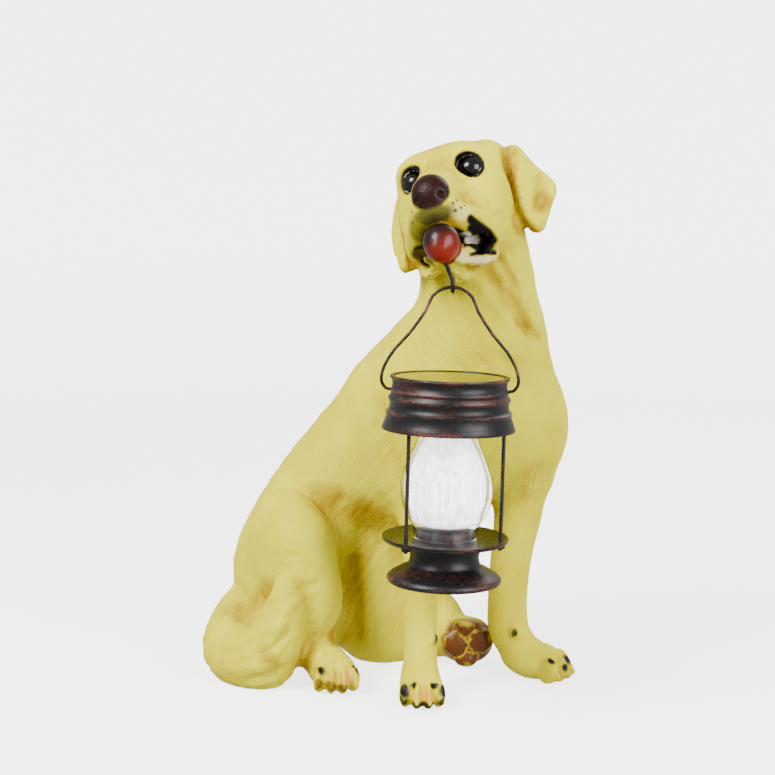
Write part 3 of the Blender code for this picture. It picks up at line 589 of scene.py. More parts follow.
CAMERA_FOCAL_PIXELS = 1450.0
IMAGE_SIZE = 775
SENSOR = 36.0
CAMERA_AZIMUTH = math.radians(-45)
TOWARD_CAMERA = Vector((math.sin(CAMERA_AZIMUTH), -math.cos(CAMERA_AZIMUTH), 0))
RIGHT_OF_CAMERA = Vector((math.cos(CAMERA_AZIMUTH), math.sin(CAMERA_AZIMUTH), 0))
CAMERA_PITCH = math.radians(6.2)
CAMERA_ROLL = math.radians(1.5)
CAMERA_HEIGHT = 0.345
CAMERA_DISTANCE = 1.08
PANEL_STRIP = 0.011
LINER_ROOM = 0.0046
# Pale copper along the bail wire, partly rubbed copper and partly a painted highlight.
BAIL_RUB_AND_HIGHLIGHT = 0.8
THREAD_PITCH = 0.00095
THREAD_DEPTH = 0.00022
FLOOR_GLOW = 2.7
WALL_GLOW = 3.6

# The grid of the painted dog, and the balls in which its faces are split once more: centre and reach.
FINE_GRID = 2.75
FACE = ((0.0, -22.0, -32.0), 58.0)
MOUTH = ((4.0, -26.0, -62.0), 32.0)
PAWS = [((-16.0, -60.0, 12.0), 27.0), ((107.0, -80.0, 14.0), 26.0), ((-44.0, 2.0, 14.0), 27.0),
        ((84.0, -20.0, 22.0), 26.0)]


def trilinear(t, value):
    """Blends what value gives for each corner of a cell, by the place t in the cell."""
    total = 0
    for corner in CORNERS:
        wx, wy, wz = (t[:, m] if corner[m] else 1 - t[:, m] for m in range(3))
        total = total + value(*corner) * wx * wy * wz
    return total


def noise3(p, seed):
    """Smooth value noise between 0 and 1 on a unit lattice."""
    cell = np.floor(p).astype(np.int64)
    t = p - cell

    def at(i, j, k):
        n = (cell[:, 0] + i) * 374761393 + (cell[:, 1] + j) * 668265263
        n = n + (cell[:, 2] + k) * 2147483647 + seed * 974634777
        n = (n ^ (n >> 13)) * 1274126177
        n = n ^ (n >> 16)
        return (n & 0xFFFF) / 65535.0

    return trilinear(t * t * (3 - 2 * t), at)


def sample(axes, field, p):
    """Field values between grid points."""
    low = np.array([a[0] for a in axes])
    step = np.array([a[1] - a[0] for a in axes])
    g = (p - low) / step
    cell = np.clip(np.floor(g).astype(int), 0, np.array(field.shape) - 2)
    t = np.clip(g - cell, 0, 1)
    return trilinear(t, lambda i, j, k: field[cell[:, 0] + i, cell[:, 1] + j, cell[:, 2] + k])


def slope(axes, field, p, h=1.2):
    parts = []
    for k in range(3):
        d = np.zeros(3)
        d[k] = h
        parts.append(sample(axes, field, p + d) - sample(axes, field, p - d))
    n = np.stack(parts, 1)
    return n / np.maximum(np.linalg.norm(n, axis=1), 1e-9)[:, None]


def field_at(sculpt, p):
    field = np.full(len(p), FAR)
    for carve, soft, low, high, shape in sculpt.steps:
        pad = soft + 6
        near = ((p > low - pad) & (p < high + pad)).all(-1)
        if near.any():
            lay(field, near, shape(p[near]), soft, carve)
    return field


def ramp(x, low, high):
    t = np.clip((x - low) / (high - low), 0, 1)
    return t * t * (3 - 2 * t)


def shift_of_row():
    """The figure is laid out round its own origin. The lantern's axis ties it to the row frame."""
    low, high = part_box("lantern_cap")
    middle = (low + high) / 2
    return np.array([middle.x - LANTERN_PLACE[0], middle.y - LANTERN_PLACE[1], 0.0])


SHIFT = shift_of_row()


def mesh_from(name, bm):
    mesh = bpy.data.meshes.new(name)
    bm.to_mesh(mesh)
    bm.free()
    return mesh


def show(name, data):
    obj = bpy.data.objects.new(name, data)
    bpy.context.scene.collection.objects.link(obj)
    return obj


def add_attribute(mesh, name, values, kind="FLOAT"):
    layer = mesh.attributes.new(name, kind, "POINT")
    key = "value" if kind == "FLOAT" else "vector"
    layer.data.foreach_set(key, np.asarray(values, np.float32).ravel())


def crowding(axes, field, p, n, reaches, least):
    """How much of the room in front of each point is taken, averaged over several reaches."""
    total = 0
    for reach in reaches:
        total = total + np.clip(1 - sample(axes, field, p + n * reach) / reach, least, 1.2)
    return total / len(reaches)


def fine_dog():
    """The dog's solid made again on a finer grid, with its fur laid on."""
    s = dog_sculpt()
    added = [step for step in s.steps if not step[0]]
    lo = np.min([step[2] for step in added], 0) - 3 * FINE_GRID
    hi = np.max([step[3] for step in added], 0) + 3 * FINE_GRID
    lo[2] = -4 * FINE_GRID
    axes, field = field_on_grid(s, lo, hi, FINE_GRID)
    below = np.meshgrid(*axes, indexing="ij")[2]
    field = np.maximum(field, -0.4 * FINE_GRID - below)
    inside = close_pinches(keep_one_body(field < 0))
    small = 0.12 * FINE_GRID
    field = np.where(inside, np.minimum(field, -small), np.maximum(field, small))
    points, faces = surface_net(axes, field)
    bm = bmesh.new()
    verts = [bm.verts.new(p) for p in points]
    for f in faces:
        bm.faces.new([verts[i] for i in f])
    bmesh.ops.recalc_face_normals(bm, faces=bm.faces)
    on_head = [(HEAD.origin + HEAD.axes @ np.array(centre), reach) for centre, reach in (FACE, MOUTH)]
    for spots in ([on_head[0]] + PAWS, [on_head[1]]):
        near = set()
        for centre, reach in spots:
            middle = Vector(centre)
            near |= set(v for v in bm.verts if (v.co - middle).length < reach and v.co.z > 0.6)
        edges = [e for e in bm.edges if e.verts[0] in near and e.verts[1] in near]
        bmesh.ops.subdivide_edges(bm, edges=edges, cuts=1, use_grid_fill=True)
    mesh = mesh_from("dog_figure", bm)
    p = np.zeros(len(mesh.vertices) * 3)
    mesh.vertices.foreach_get("co", p)
    p = p.reshape(-1, 3)
    floor = p[:, 2] < 0.4
    for _ in range(3):
        n = slope(axes, field, p)
        d = np.clip(field_at(s, p), -1.2, 1.2)
        p = np.where(floor[:, None], p, p - n * d[:, None] * 0.9)
    n = slope(axes, field, p)
    # Painted shade: hollow darkens small creases, and shade darkens wide hollows and the undersides, where less light
    # reaches.
    hollow = crowding(axes, field, p, n, (3.0, 6.0, 10.0), -0.5)
    shade = 0.30 * crowding(axes, field, p, n, (18.0, 30.0, 44.0), 0) + 0.18 * np.clip(-n[:, 2], 0, 1)
    flow = flow_of(p, n)
    p = p - n * (fur_depth(p, flow) * ~floor)[:, None]
    p[:, 2] = np.maximum(p[:, 2], 0)
    low, high = (np.array(corner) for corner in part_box("dog"))
    mesh.vertices.foreach_set("co", np.clip(p * UNIT + SHIFT, low, high).ravel())
    mesh.update()
    return mesh, p, n, hollow, shade, flow


def cover(p, points, width, soft):
    """1 along a line through points, fading out over the soft width."""
    rows = smooth_rows([list(q) for q in points], 4)
    best = np.full(len(p), 1e3)
    for a, b in zip(rows[:-1], rows[1:]):
        best = np.minimum(best, tapered_rod(p, a, b, width, width))
    return 1 - ramp(best, 0, soft)


def spot(p, center, radii, soft=0.4):
    q = (p - np.array(center, float)) / np.array(radii, float)
    return 1 - ramp(np.linalg.norm(q, axis=1), 1 - soft / 2, 1 + soft / 2)


def regions(p):
    """How far each part of the body claims a point, from 0 to 1."""
    tail = cover(p, [(-45, 113, 42), (-65, 100, 22), (-72, 75, 17), (-68, 54, 22), (-64, 43, 44), (-60, 41, 76)],
                 22, 8)
    thigh = spot(p, (-32, 62, 88), (34, 52, 56), 0.2) * (1 - tail)
    head = ramp(p[:, 2], 318, 345) * (1 - ramp(p[:, 1] - 0.6 * p[:, 0], 0, 60) * 0.5)
    legs = (1 - ramp(p[:, 2], 95, 135)) * (1 - ramp(p[:, 1], -8, 6)) * (1 - tail)
    neck = ramp(p[:, 2], 190, 240) * (1 - head)
    return tail, thigh, head, legs, neck


def flow_of(p, n):
    """The way the fur lies on each part of the body."""
    tail, thigh, head, legs, neck = regions(p)
    across = np.array([0.7071, -0.7071, 0.0])
    down = np.array([0.0, 0.0, -1.0])
    d = np.tile(down * 0.9 + np.array([-0.25, 0.55, 0.0]), (len(p), 1))
    for share, way in ((neck, down + 0.62 * across), (legs, down), (thigh, down + 0.25 * across),
                       (tail, across * 0.9 - down * 0.75), (head, HEAD.axes @ np.array([0.0, 1.0, 0.1]))):
        d = d * (1 - share)[:, None] + way * share[:, None]
    swirl = noise3(p / 30.0, 5) + 0.5 * noise3(p / 13.0, 6) - 0.75
    d = d + np.cross(n, d) * swirl[:, None] * 1.2
    d = d - n * (d * n).sum(1)[:, None]
    return d / np.maximum(np.linalg.norm(d, axis=1), 1e-6)[:, None]


def lock_noise(p, flow, size, length, seed):
    total = 0
    count = 9
    for k in range(count):
        total = total + noise3((p + flow * (k / (count - 1) - 0.5) * length) / size, seed)
    return total / count


# Parting lines between the belly and a hind leg and between the locks of the tail.
GROOVES = [[(9, 43, 87), (11, 40, 55), (16, 41, 22)],
           [(-79, 32, 62), (-84, 42, 52), (-90, 56, 44), (-95, 74, 36)],
           [(-73, 27, 46), (-81, 34, 34), (-88, 48, 26), (-94, 66, 20)],
           [(-70, 30, 20), (-80, 34, 12), (-88, 46, 9)],
           [(-72, 34, 70), (-78, 42, 62), (-86, 60, 52)],
           [(-84, 32, 44), (-90, 46, 36), (-96, 62, 28), (-96, 78, 24)]]


def fur_depth(p, flow):
    tail, thigh, head, legs, neck = regions(p)
    coarse = lock_noise(p, flow, 4.8, 26, 11)
    fine = lock_noise(p, flow, 2.7, 12, 12)
    height = 0.62 * coarse + 0.38 * fine - 0.5
    deep = 1.0 + 0.8 * neck + 0.9 * tail - 0.65 * thigh - 0.7 * legs
    deep = deep * (1 - head) + 0.18 * head
    patchy = 0.45 + 0.9 * ramp(noise3(p / 34.0, 21), 0.3, 0.7)
    grooves = 0
    for points in GROOVES:
        grooves = np.maximum(grooves, cover(p, points, 2.0, 4.5))
    return np.clip(deep * patchy, 0, 2.3) * np.clip(0.5 - height * 4.5, 0, 1) + 1.5 * grooves


class Paint:
    """A material, with short calls for the nodes that its colour is mixed from."""

    def __init__(self, name):
        self.material = bpy.data.materials.new(name)
        self.material.use_nodes = True
        self.tree = self.material.node_tree
        self.here = self.node("TexCoord").outputs["Object"]

    def feed(self, sockets, values):
        """Links each value that comes from a node, and sets each plain number or colour."""
        for key, value in values.items():
            if isinstance(value, bpy.types.NodeSocket):
                self.tree.links.new(value, sockets[key])
            elif sockets[key].type == "RGBA":
                sockets[key].default_value = (*value, 1)
            else:
                sockets[key].default_value = value

    def node(self, kind, inputs={}, **settings):
        made = self.tree.nodes.new("ShaderNode" + kind)
        for key, value in settings.items():
            setattr(made, key, value)
        self.feed(made.inputs, inputs)
        return made

    def mix(self, factor, a, b):
        return self.node("Mix", {0: factor, 6: a, 7: b}, data_type="RGBA").outputs[2]

    def calc(self, operation, a, b=0.0, clamp=False):
        return self.node("Math", {0: a, 1: b}, operation=operation, use_clamp=clamp).outputs[0]

    def ramp(self, value, low, high, to_low=0.0, to_high=1.0):
        return self.node("MapRange", dict(enumerate((value, low, high, to_low, to_high)))).outputs[0]

    def attribute(self, name, output="Fac"):
        return self.node("Attribute", attribute_name=name).outputs[output]

    def noise(self, vector, scale, detail=2.0, rough=0.5):
        inputs = {"Vector": vector, "Scale": scale, "Detail": detail, "Roughness": rough}
        return self.node("TexNoise", inputs).outputs["Fac"]

    def stretched(self, factors):
        return self.node("VectorMath", {0: self.here, 1: factors}, operation="MULTIPLY").outputs[0]

    def bump(self, height, distance, strength):
        return self.node("Bump", {"Height": height, "Distance": distance, "Strength": strength}).outputs[0]

    def strokes(self, scale, stride, count):
        """Short soft strokes that follow the fur: one noise read at steps along its flow."""
        flow = self.attribute("flow", "Vector")
        total = None
        for k in range(count):
            offset = (k - (count - 1) / 2) * stride
            step = self.node("VectorMath", {0: flow, 1: (offset,) * 3, 2: self.here}, operation="MULTIPLY_ADD")
            value = self.noise(step.outputs[0], scale, 1.0)
            total = value if total is None else self.calc("ADD", total, value)
        return self.calc("DIVIDE", total, float(count))

    def finish(self, **shader):
        """Feeds the shader. Base_Color=x goes into its input named Base Color."""
        inputs = {name.replace("_", " "): value for name, value in shader.items()}
        self.feed(self.tree.nodes["Principled BSDF"].inputs, inputs)
        return self.material


def resin_material():
    """Yellow paint, gold and brown in its hollows, folds and undersides as painted shade and partly a brown wash,
    paler on raised fur strokes as a painted highlight, and the painted eyes, nose, mouth, claws and sole.
    """
    paint = Paint("painted_resin")
    hollow = paint.attribute("hollow")
    gloss = paint.attribute("gloss")
    fine = paint.calc("ADD", paint.strokes(560.0, 0.0017, 6), paint.strokes(270.0, 0.0034, 5))
    fine = paint.calc("MULTIPLY", fine, 0.5)
    speck = paint.noise(paint.here, 1500.0)
    broad = paint.noise(paint.here, 26.0, 3.0)
    light = (0.70, 0.645, 0.016)
    lemon = (0.62, 0.535, 0.001)
    gold = (0.42, 0.285, 0.001)
    brown = (0.19, 0.080, 0.001)
    highlight_yellow = (0.82, 0.78, 0.10)
    color = paint.mix(paint.ramp(broad, 0.33, 0.62), light, lemon)
    swing = paint.calc("MULTIPLY", paint.calc("SUBTRACT", fine, 0.5), 2.6)
    swing = paint.calc("MULTIPLY", swing, paint.ramp(gloss, 0.0, 0.4, 1.0, 0.0))
    # Painted shade: hollow, shade and the brown wash pull the yellow toward gold, then brown.
    depth = paint.calc("ADD", paint.calc("MULTIPLY", hollow, 0.8), swing)
    depth = paint.calc("ADD", depth, paint.attribute("wash_and_shade"))
    depth = paint.calc("ADD", depth, paint.attribute("shade"))
    color = paint.mix(paint.ramp(depth, 0.12, 0.75), color, gold)
    color = paint.mix(paint.ramp(depth, 0.80, 1.60), color, brown)
    # Painted highlight: raised fur strokes away from the hollows turn a paler yellow, where light would catch them.
    ridge_highlight = paint.calc("SUBTRACT", swing, hollow)
    color = paint.mix(paint.ramp(ridge_highlight, 0.05, 0.55, 0.0, 0.6), color, highlight_yellow)
    pad = paint.mix(paint.ramp(speck, 0.35, 0.65), (0.040, 0.010, 0.002), (0.16, 0.052, 0.007))
    leather = paint.mix(paint.ramp(speck, 0.4, 0.62), (0.006, 0.0006, 0.0003), (0.024, 0.0028, 0.0008))
    uneven = paint.calc("MULTIPLY", paint.calc("SUBTRACT", broad, 0.5), 0.5)
    # Painted shade on the tongue: near black at its top, under the muzzle, and bright red lower down.
    tongue_lit_share = paint.calc("ADD", paint.attribute("tongue_lit_share"), uneven)
    flesh = paint.mix(paint.ramp(tongue_lit_share, 0.0, 1.0), (0.004, 0.0002, 0.0002), (0.24, 0.012, 0.0006))
    for name, layer in (("cream", (0.64, 0.36, 0.020)), ("copper", pad), ("pale", (0.74, 0.68, 0.58)),
                        ("smoke", (0.022, 0.022, 0.009)), ("dark", (0.0016, 0.0010, 0.0010)), ("nose", leather),
                        ("red", flesh)):
        color = paint.mix(paint.attribute(name), color, layer)
    relief = paint.bump(fine, 0.0024, paint.ramp(gloss, 0.0, 0.5, 0.85, 0.02))
    return paint.finish(Base_Color=color, Roughness=paint.ramp(gloss, 0.0, 1.0, 0.55, 0.10),
                        Specular_IOR_Level=paint.ramp(gloss, 0.0, 1.0, 0.08, 0.42), Normal=relief)


def metal_material():
    """Black paint with copper brushed over its edges, heavier in some places than others. The pale pinkish copper on
    the proudest edges is partly rubbed copper and partly a painted highlight.
    """
    paint = Paint("black_copper")
    vector = paint.stretched((1.0, 1.0, 4.0))
    patch = paint.noise(vector, 30.0, 3.0, 0.55)
    grain = paint.noise(vector, 380.0, 3.0, 0.6)
    amount = paint.calc("ADD", patch, paint.calc("MULTIPLY", paint.calc("SUBTRACT", grain, 0.5), 0.7))
    color = paint.mix(paint.ramp(amount, 0.54, 0.80), (0.0030, 0.0026, 0.0034), (0.046, 0.0070, 0.0024))
    # Painted highlight, partly rubbed copper: the proudest ring edges turn a pale pinkish copper.
    edge = paint.calc("MULTIPLY", paint.attribute("rub_and_highlight"), paint.ramp(amount, 0.44, 0.80), True)
    color = paint.mix(edge, color, (0.19, 0.065, 0.045))
    return paint.finish(Base_Color=color, Roughness=paint.ramp(grain, 0.3, 0.7, 0.30, 0.50), Metallic=0.1,
                        Specular_IOR_Level=0.33, Normal=paint.bump(grain, 0.0005, 0.30))


def panel_material():
    """Gold-brown solar film behind a clear sheet, parted by thin dark lines."""
    paint = Paint("solar_film")
    across = paint.node("SeparateXYZ", {0: paint.here}).outputs[0]
    strip = paint.calc("FRACT", paint.calc("MULTIPLY", across, 1 / PANEL_STRIP))
    line = paint.calc("ABSOLUTE", paint.calc("SUBTRACT", strip, 0.5))
    cloud = paint.noise(paint.here, 60.0, 3.0)
    color = paint.mix(paint.ramp(cloud, 0.35, 0.65), (0.045, 0.034, 0.004), (0.11, 0.085, 0.014))
    color = paint.mix(paint.ramp(line, 0.455, 0.475), color, (0.02, 0.014, 0.008))
    return paint.finish(Base_Color=color, Roughness=paint.ramp(cloud, 0.3, 0.7, 0.07, 0.16))


def glass_material():
    paint = Paint("chimney_glass")
    streak = paint.noise(paint.stretched((1.0, 1.0, 0.06)), 260.0)
    return paint.finish(Base_Color=(0.97, 0.98, 0.98), Roughness=paint.ramp(streak, 0.3, 0.7, 0.02, 0.07),
                        Transmission_Weight=1.0, IOR=1.35)


def liner_material():
    """The frosted white liner that spreads the lamp's light."""
    paint = Paint("frosted_liner")
    streak = paint.noise(paint.stretched((1.0, 1.0, 0.05)), 460.0)
    color = paint.mix(paint.ramp(streak, 0.36, 0.60), (0.62, 0.63, 0.64), (0.98, 0.98, 0.98))
    return paint.finish(Base_Color=color, Emission_Color=color, Emission_Strength=1.5, Roughness=0.6)


def add_piece(name, bm, mat, body, replaced, rub_and_highlight=None):
    bmesh.ops.recalc_face_normals(bm, faces=bm.faces)
    mesh = mesh_from(name, bm)
    if rub_and_highlight is not None:
        add_attribute(mesh, "rub_and_highlight", np.broadcast_to(rub_and_highlight, len(mesh.vertices)))
    mesh.materials.append(mat)
    mesh.shade_smooth()
    mesh.set_sharp_from_angle(angle=math.radians(50))
    obj = show(name, mesh)
    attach(obj, body)
    if replaced:
        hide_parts(*replaced)
    return obj


def at_lantern(bm):
    middle = (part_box("lantern_cap")[0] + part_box("lantern_cap")[1]) / 2
    place = Matrix.Translation((middle.x, middle.y, APEX_HEIGHT - BAIL_RISE)) @ Matrix.Rotation(LANTERN_TURN, 4, "Z")
    bmesh.ops.transform(bm, matrix=place, verts=bm.verts)
    return bm


def ring_rub_and_highlight(profile, sides):
    """How proud each ring of a turned profile stands, for the pale copper on its edges, partly rubbed copper and
    partly a painted highlight.
    """
    values = []
    last = len(profile) - 1
    for k, (radius, height) in enumerate(profile):
        before = Vector(profile[max(k - 1, 0)])
        after = Vector(profile[min(k + 1, last)])
        here = Vector((radius, height))
        one = (here - before)
        two = (after - here)
        turn = 0.0
        if one.length > 1e-6 and two.length > 1e-6:
            one.normalize()
            two.normalize()
            turn = two.x * one.y - two.y * one.x
        values += [min(max(turn * 1.4, 0.0), 1.0)] * (1 if radius < 1e-6 else sides)
    return values


def threaded_rod(bottom, top, radius, pitch, depth, sides):
    """A rod with a helical thread cut into it."""
    count = int((top - bottom) / (pitch / 4))
    rings = []
    for i in range(count + 1):
        z = bottom + (top - bottom) * i / count
        ring = []
        for k in range(sides):
            r = radius - depth * abs(2 * ((z / pitch - k / sides) % 1.0) - 1)
            a = 2 * math.pi * k / sides
            ring.append((r * math.cos(a), r * math.sin(a), z))
        rings.append(ring)
    return skinned(rings)


def rod_piece(angle):
    flange = PIN_BELOW_TOP - FLANGE_DROP
    top = PIN_BELOW_TOP - CAP_HEIGHT + LEDGE_RISE - GAP
    nut_top = flange - FLANGE_THICKNESS - GAP
    nut_low = nut_top - NUT_HEIGHT
    a = math.radians(angle)
    place = Matrix.Translation((ROD_CIRCLE * math.cos(a), ROD_CIRCLE * math.sin(a), 0))
    bm = threaded_rod(nut_low - ROD_TAIL, top, ROD_RADIUS, THREAD_PITCH, THREAD_DEPTH, WIRE_SIDES)
    bmesh.ops.transform(bm, matrix=place, verts=bm.verts)
    nut = turned([(0, nut_top), (NUT_RADIUS - 0.0005, nut_top), (NUT_RADIUS, nut_top - 0.0004),
                  (NUT_RADIUS, nut_low + 0.0004), (NUT_RADIUS - 0.0005, nut_low), (0, nut_low)], 6)
    bmesh.ops.transform(nut, matrix=place @ Matrix.Rotation(a, 4, "Z"), verts=nut.verts)
    mesh = mesh_from("nut", nut)
    bm.from_mesh(mesh)
    bpy.data.meshes.remove(mesh)
    return bm


def most(*claims):
    """The strongest of several claims on each point."""
    return np.maximum.reduce(claims)


def head_marks(local, rough):
    """Painted eyes, nose, mouth, teeth, lips and whiskers. The rough places give frayed edges."""
    marks = {}
    marks["eyes"] = most(spot(local, (23.5, -6, -3.5), (11, 13, 11), 0.12),
                         spot(local, (20.6, -8, 1.0), (6.0, 9, 5.5), 0.25),
                         spot(local, (-18.5, -7, -3.5), (11, 13, 10.5), 0.12))
    marks["nose"] = spot(local, (0.5, -50, -30), (14.2, 12.5, 13.8), 0.12)
    tongue = most(spot(local, (1.8, -49, -66), (14.6, 15, 14.6), 0.06),
                  spot(local, (0, -51, -73), (12.5, 12, 11.5), 0.06),
                  cover(local, [(1, -28, -66), (1.5, -42, -66)], 11.6, 1.0))
    mouth = most(spot(local, (0, -28, -63), (18.5, 30, 11), 0.2), spot(local, (20, -13, -62), (13, 19, 8.5), 0.3),
                 spot(local, (-18, -14, -62), (11, 17, 8), 0.3),
                 cover(local, [(8, -8, -56), (14, -1, -54), (21, 0, -54)], 5.0, 2.0),
                 cover(local, [(-8, -8, -56), (-14, -3, -54), (-17, -3, -54)], 4.5, 2.0),
                 cover(local, [(22, -34, -51), (25, -28, -54), (27.5, -20, -56), (30, -12, -58), (31, -4, -62)],
                       2.2, 3.0),
                 cover(local, [(22, -30, -57), (25, -22, -58), (28, -10, -60)], 3.4, 3.0),
                 cover(local, [(13, -32, -66.5), (19, -22, -67.5), (24, -5, -68), (28, 1, -68)], 1.2, 2.0))
    teeth = most(spot(local, (14, -24, -58.5), (4.5, 6, 4.5), 0.5), spot(local, (14, -1, -55), (5.5, 7, 5), 0.6))
    marks["tongue"] = tongue
    marks["mouth"] = mouth * (1 - tongue)
    marks["teeth"] = teeth * (1 - tongue)
    marks["lips"] = most(cover(rough, [(11, -34, -75), (17, -22, -75), (24, -6, -74), (26, 2, -73)], 2.5, 6.0) * 0.34,
                         cover(rough, [(15, -45, -46), (20, -37, -48)], 2.0, 6.0) * 0.24)
    whiskers = [(17, -43, -38), (15, -48, -41), (19, -38, -35), (15, -46, -46), (19, -43, -44), (21, -38, -41),
                (-15, -47, -39), (-16, -45, -46), (-19, -40, -42), (-14, -50, -43)]
    smoke = most(spot(rough, (0, -49, -46), (16, 12, 7), 0.8) * 0.9,
                 most(*[spot(local, center, (1.5, 1.8, 1.5), 0.7) for center in whiskers]) * 0.95,
                 spot(rough, (-15, -42, -53), (8, 15, 11), 0.9) * 0.75,
                 spot(rough, (-14, -33, -74), (5, 6, 6), 0.9) * 0.8,
                 spot(rough, (24, -30, -53), (7, 12, 4), 1.0) * 0.55)
    marks["smoke"] = smoke * (1 - tongue)
    return marks


def paw_marks(p, q):
    """Painted claws, the dark line along a forepaw's toes, and the pads of the sole."""
    claws = [((-30, -55, 14), (4.5, 5, 6)), ((-23, -58, 17), (2.5, 3, 3)), ((-12, -68, 17), (3.5, 3, 3)),
             ((-7, -73, 13), (4, 5, 6)), ((11, -49, 43), (4, 4, 5)), ((118, -90, 17), (6, 5, 5)),
             ((98, -89, 20), (4, 4, 4)), ((85, -62, 37), (4, 4, 5)), ((-53, 8, 21), (4, 5, 6)),
             ((-29, -5, 19), (4, 5, 6)), ((108, -95, 13), (3, 4, 4))]
    marks = {"claws": most(*[spot(q, center, radii, 0.6) for center, radii in claws])}
    marks["toe_line"] = cover(q, [(-34, -50, 7), (-29, -60, 4), (-21, -68, 3), (-12, -75, 4), (-4, -76, 9)],
                              2.8, 1.8) * 0.93
    marks["cream"] = most(spot(q, (-20, -67, 10), (6, 6, 6), 0.8), spot(q, (-49, -2, 15), (5, 5, 5), 0.8) * 0.7,
                          spot(q, (-39, -7, 12), (6, 6, 7), 0.8))
    rims = 0
    drift = np.stack([noise3(p / 6.0, seed) for seed in (34, 35, 36)], 1) - 0.5
    sole_local = (q + drift * 5.0 - FOOT.origin) @ FOOT.axes
    for x, z, width, height in FOOT_PADS:
        reach = np.linalg.norm((sole_local[:, [0, 2]] - (x, z)) / (width, height), axis=1)
        rims = np.maximum(rims, ramp(reach, 0.84, 0.95) * (1 - ramp(reach, 0.97, 1.08)))
    rims = rims * 0.75 * ramp(noise3(p / 5.0, 37), 0.15, 0.65)
    sole = spot(sole_local, (0, -8, 0), (21, 14, 20), 0.2) * (1 - ramp(sole_local[:, 1], -6, -3))
    marks["sole"] = sole
    marks["rims"] = rims * sole
    marks["copper"] = most(sole * (1 - rims),
                           cover(q, [(-58, 6, 9), (-52, -2, 7), (-44, -8, 5)], 3.6, 2.5) * 0.855,
                           cover(q, [(88, -86, 4), (100, -98, 3), (116, -96, 4)], 1.2, 2.0) * 0.57)
    return marks


def brown_wash_and_shade(q, rough):
    """Brown in the folds and creases, partly the statue's own brown wash and partly painted shade. Each row:
    strength, where, width or radii, softness.
    """
    lines = [(0.62, [(-10, -88, 322), (24, -79, 315), (36, -82, 302), (54, -82, 287), (64, -80, 276)], 2.0, 8),
             (0.45, [(30, -81, 328), (38, -83, 319), (47, -84, 308)], 1.5, 4),
             (0.40, [(52, -82, 281), (66, -82, 274), (78, -80, 269)], 1.5, 4),
             (0.72, [(-24, 44, 140), (-13, 35, 137), (-6, 27, 134), (6, 22, 122)], 3.0, 17),
             (0.70, [(-19, 36, 62), (-25, 28, 48), (-28, 20, 36)], 2, 10),
             (0.48, [(-68, 104, 50), (-62, 92, 46), (-55, 82, 54), (-56, 66, 72)], 2.5, 13),
             (0.60, [(-86, 38, 34), (-80, 32, 22)], 2, 8),
             (0.35, [(-4, 0, 216), (-5, -7, 196), (-2, -11, 177), (3, -15, 160)], 1.5, 5),
             (0.35, [(10, 42, 88), (11, 40, 60), (15, 40, 28)], 2, 8)]
    head_lines = [(0.75, [(50, 21, 10), (46, 18, -12), (44, 14, -34), (45, 16, -46), (52, 30, -53)], 2.2, 7),
                  (0.30, [(-34, 10, -6), (-34, 8, -40), (-35, 8, -60)], 2, 4),
                  (0.30, [(26, -28, -52), (31, -4, -60), (30, 14, -68), (28, 25, -80)], 1.0, 3)]
    head_spots = [(0.75, (65, 32, -31), (7, 9, 8), 0.9), (0.55, (-30, 8, -58), (10, 12, 8), 1.0),
                  (0.30, (0, -18, -2), (16, 16, 12), 1.2)]
    wash_and_shade = 0.30 * spot(q, (94, -65, 153), (16, 16, 22), 1.2)
    for place, shape, rows in ((q, cover, lines), (rough, cover, head_lines), (rough, spot, head_spots)):
        for strength, where, size, soft in rows:
            wash_and_shade = wash_and_shade + strength * shape(place, where, size, soft)
    return wash_and_shade


def make_dog():
    mesh, p, n, hollow, shade, flow = fine_dog()
    q = p + (np.stack([noise3(p / 2.2, seed) for seed in (31, 32, 33)], 1) - 0.5) * 1.6
    local, rough = ((places - HEAD.origin) @ HEAD.axes for places in (p, q))
    head = head_marks(local, rough)
    paw = paw_marks(p, q)
    dark = most(head["eyes"], head["mouth"] * (1 - head["teeth"]), paw["claws"], paw["toe_line"])
    # Painted shade: the tongue darkens toward its top, under the muzzle, and is bright red lower down.
    tongue_lit_share = 0.08 + ((local[:, 0] - 1.8) * 0.35 - (local[:, 2] + 65) * 0.9) / 17.0
    locks = np.clip(0.85 + (lock_noise(p, flow, 3.4, 16, 41) - 0.5) * 2.4, 0.2, 1.3)
    add_attribute(mesh, "flow", flow, "FLOAT_VECTOR")
    for name, values in (("hollow", hollow), ("shade", shade),
                         ("wash_and_shade", np.clip(brown_wash_and_shade(q, rough) * locks, 0, 1.3)),
                         ("cream", most(paw["cream"] * 0.9, paw["rims"])), ("copper", paw["copper"]),
                         ("pale", most(head["teeth"] * 0.92, head["lips"]) * (1 - dark * (1 - head["teeth"]))),
                         ("smoke", head["smoke"]), ("dark", dark), ("nose", head["nose"]),
                         ("red", head["tongue"] * (1 - head["nose"])), ("tongue_lit_share", np.clip(tongue_lit_share, 0, 1)),
                         ("gloss", most(head["eyes"] * 0.85, head["nose"] * 0.22, head["tongue"] * 0.5,
                                        head["teeth"] * 0.6, paw["claws"] * 0.4, paw["sole"] * 0.35))):
        add_attribute(mesh, name, values)
    mesh.materials.append(resin_material())
    mesh.shade_smooth()
    obj = show("dog_figure", mesh)
    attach(obj, "statue")
    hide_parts("dog")


